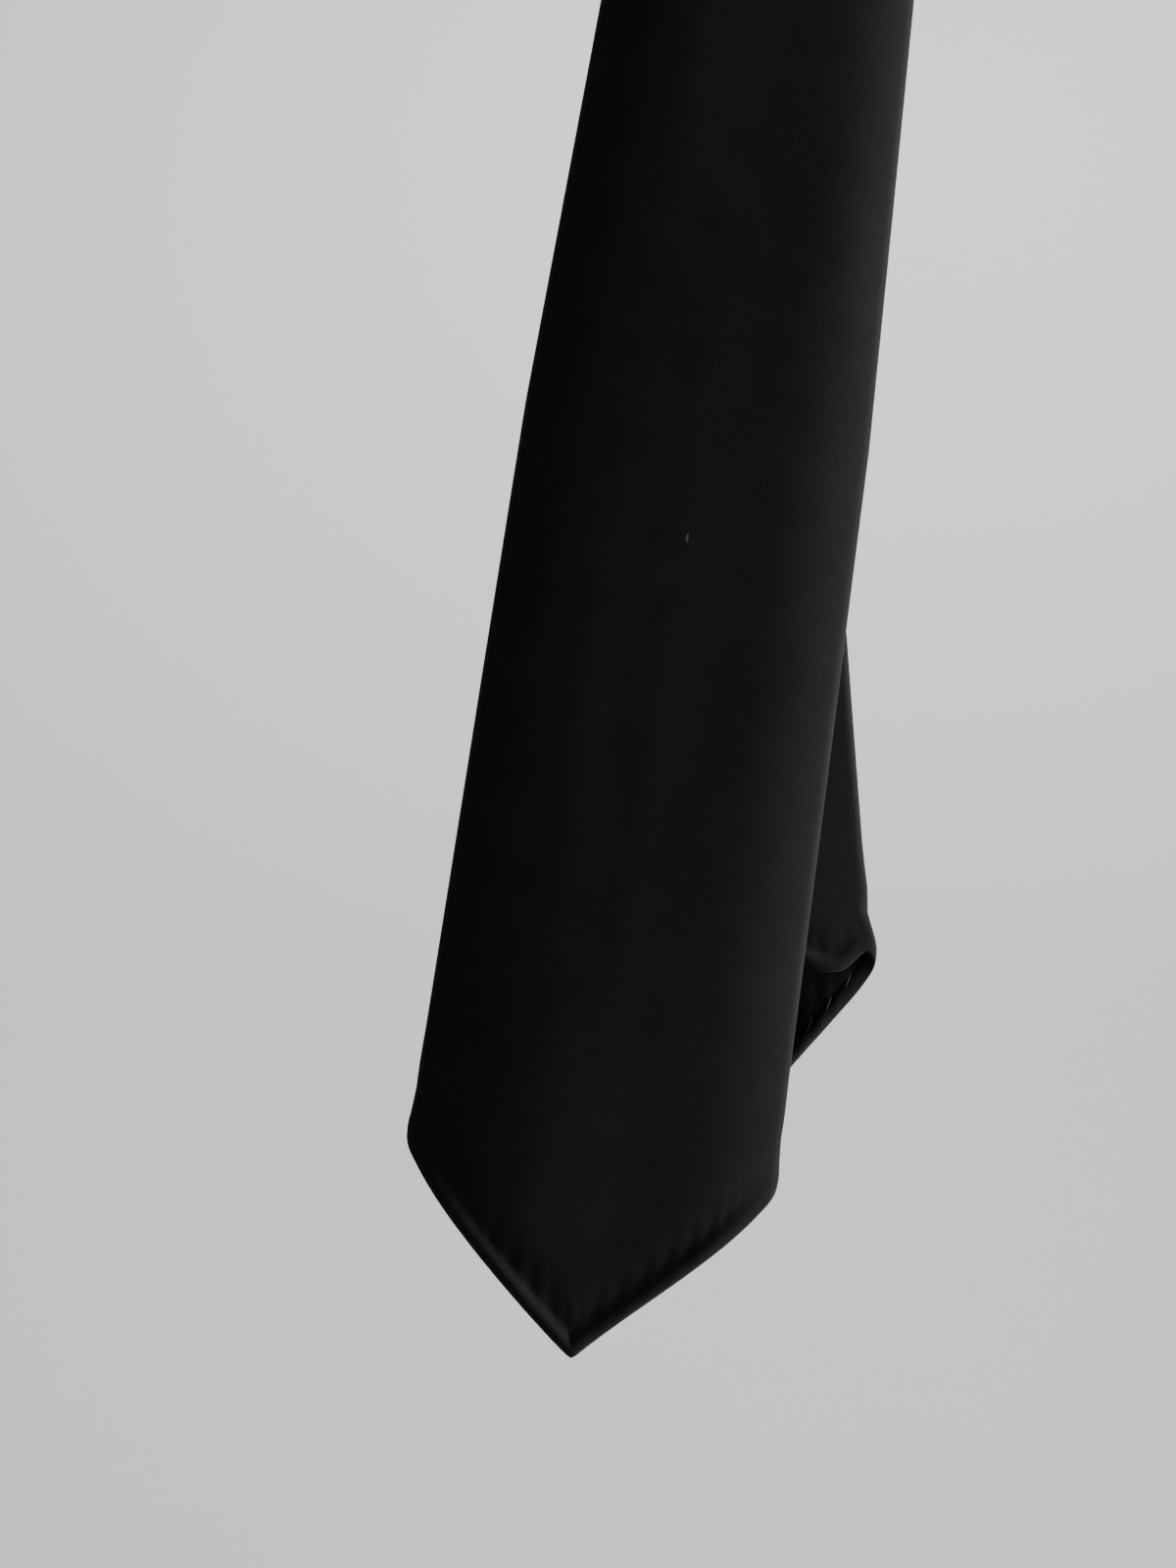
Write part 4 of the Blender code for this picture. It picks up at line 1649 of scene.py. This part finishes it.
@dataclass
class Studio:
    """A round, pale studio with soft light and the camera."""

    eye: tuple[float, float, float] = (-0.02442, -0.66, -0.63335)
    lens: float = 68.49
    sensor: float = 36.0
    roll: float = math.radians(-2.119)
    radius: float = 3.4
    floor: float = -1.75
    top: float = 2.6
    sweep: float = 0.9
    paint: tuple[float, float, float] = (0.40, 0.40, 0.404)
    air: float = 0.38
    lights: tuple[SoftBox, ...] = (
        SoftBox("key_softbox", (2.3, -0.14, -0.1), (0.0, 0.0, -0.62), (0.9, 1.8), 330.0),
        SoftBox("top_softbox", (0.2, 0.4, 2.2), (0.0, 0.0, -0.6), (2.0, 2.0), 6.0),
        SoftBox("wall_softbox", (0.30, 1.8, 0.6), (0.25, 3.4, -0.75), (0.8, 0.6), 60.0),
    )

    def build(self) -> None:
        """Builds the studio."""
        self.backdrop()
        self.world()
        self.camera()
        for light in self.lights:
            light.build()

    def backdrop(self) -> None:
        """A floor that sweeps up into a round wall."""
        bm = bmesh.new()
        profile = [(0.0, self.floor), (self.radius - self.sweep, self.floor)]
        for i in range(1, 13):
            turn = math.pi / 2 * i / 12
            reach = self.radius - self.sweep + self.sweep * math.sin(turn)
            profile.append((reach, self.floor + self.sweep * (1 - math.cos(turn))))
        profile.append((self.radius, self.top))
        verts = [bm.verts.new((reach, 0.0, height)) for reach, height in profile]
        edges = [bm.edges.new(pair) for pair in zip(verts, verts[1:])]
        bmesh.ops.spin(
            bm,
            geom=verts + edges,
            cent=(0.0, 0.0, 0.0),
            axis=(0.0, 0.0, 1.0),
            angle=2 * math.pi,
            steps=96,
            use_merge=True,
        )
        bmesh.ops.remove_doubles(bm, verts=bm.verts, dist=1e-5)
        for face in bm.faces:
            face.smooth = True
        mesh = bpy.data.meshes.new("studio_sweep")
        bm.to_mesh(mesh)
        bm.free()
        shader = Shader("pale_studio_paint")
        shader.set(Base_Color=(*self.paint, 1.0), Roughness=0.95, Specular_IOR_Level=0.1)
        mesh.materials.append(shader.material)
        sweep = bpy.data.objects.new("studio_sweep", mesh)
        bpy.context.scene.collection.objects.link(sweep)
        sweep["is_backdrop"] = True

    def world(self) -> None:
        """Even, pale light from all round."""
        world = bpy.data.worlds.new("studio_air")
        world.use_nodes = True
        background = world.node_tree.nodes["Background"]
        background.inputs["Color"].default_value = (0.97, 0.98, 1.0, 1.0)
        background.inputs["Strength"].default_value = self.air
        bpy.context.scene.world = world

    def camera(self) -> None:
        """The camera, at the height of the blades' lower half."""
        data = bpy.data.cameras.new("camera")
        data.sensor_fit = "AUTO"
        data.sensor_width = self.sensor
        data.lens = self.lens
        data.clip_start = 0.01
        camera = bpy.data.objects.new("camera", data)
        upright = Matrix.Rotation(math.pi / 2, 4, "X")
        turned = Matrix.Rotation(self.roll, 4, "Y") @ upright
        camera.matrix_world = Matrix.Translation(self.eye) @ turned
        bpy.context.scene.collection.objects.link(camera)
        bpy.context.scene.camera = camera


def write_sizes() -> None:
    """Logs the sizes of the frame's box and of the visual model's box, in millimetres."""
    boxes = {
        "cad": [list(corner) for corner in CAD_BOX],
        "visual": [list(corner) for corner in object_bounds()],
    }
    for word, (low, high) in boxes.items():
        LOG.info("%s box %s", word, [round(1000 * (b - a), 1) for a, b in zip(low, high)])


def main() -> None:
    """Builds the tie and the studio."""
    logging.basicConfig(level=logging.INFO, format="%(name)s: %(message)s")
    front = BladeShape(
        name="front",
        body=Body.FRONT,
        side=1,
        length=0.768,
        seam=0.190,
        width=0.0808,
        knee=0.205,
        knee_width=0.0757,
        neck_reach=0.640,
        side_bow=0.0018,
        flare=0.0004,
    )
    tail = BladeShape(
        name="tail",
        body=Body.TAIL,
        side=-1,
        length=0.7085,
        seam=0.170,
        width=0.049,
        knee=0.110,
        knee_width=0.0478,
        neck_reach=0.300,
        side_bow=-0.0018,
        flare=0.0013,
        lobe=0.0042,
    )
    swells = (
        Swell(0.735, -0.013, 0.060, 0.014, 0.0012),
        Swell(0.660, 0.000, 0.130, 0.005, 0.00016),
        Swell(0.560, 0.026, 0.110, 0.012, 0.0004),
        Swell(0.640, -0.016, 0.030, 0.004, 0.00014),
        Swell(0.618, 0.012, 0.016, 0.009, -0.00022),
        Swell(0.600, 0.002, 0.006, 0.014, 0.00012),
        Swell(0.480, -0.014, 0.050, 0.013, 0.0005),
        Swell(0.350, 0.006, 0.060, 0.012, -0.0004),
        Swell(-0.520, 0.008, 0.060, 0.009, 0.0004),
        Swell(-0.660, -0.006, 0.030, 0.008, -0.0004),
    )
    hang = Hang(front, tail, swells)
    cloth = Cloth(Wardrobe())
    Studio().build()
    Side(hang, cloth, front, zone_of(front, -0.1617, -0.0104), "wide").build()
    Side(hang, cloth, tail, zone_of(tail, -0.1444, 0.0104), "tail").build()
    write_sizes()


if __name__ == "__main__":
    main()
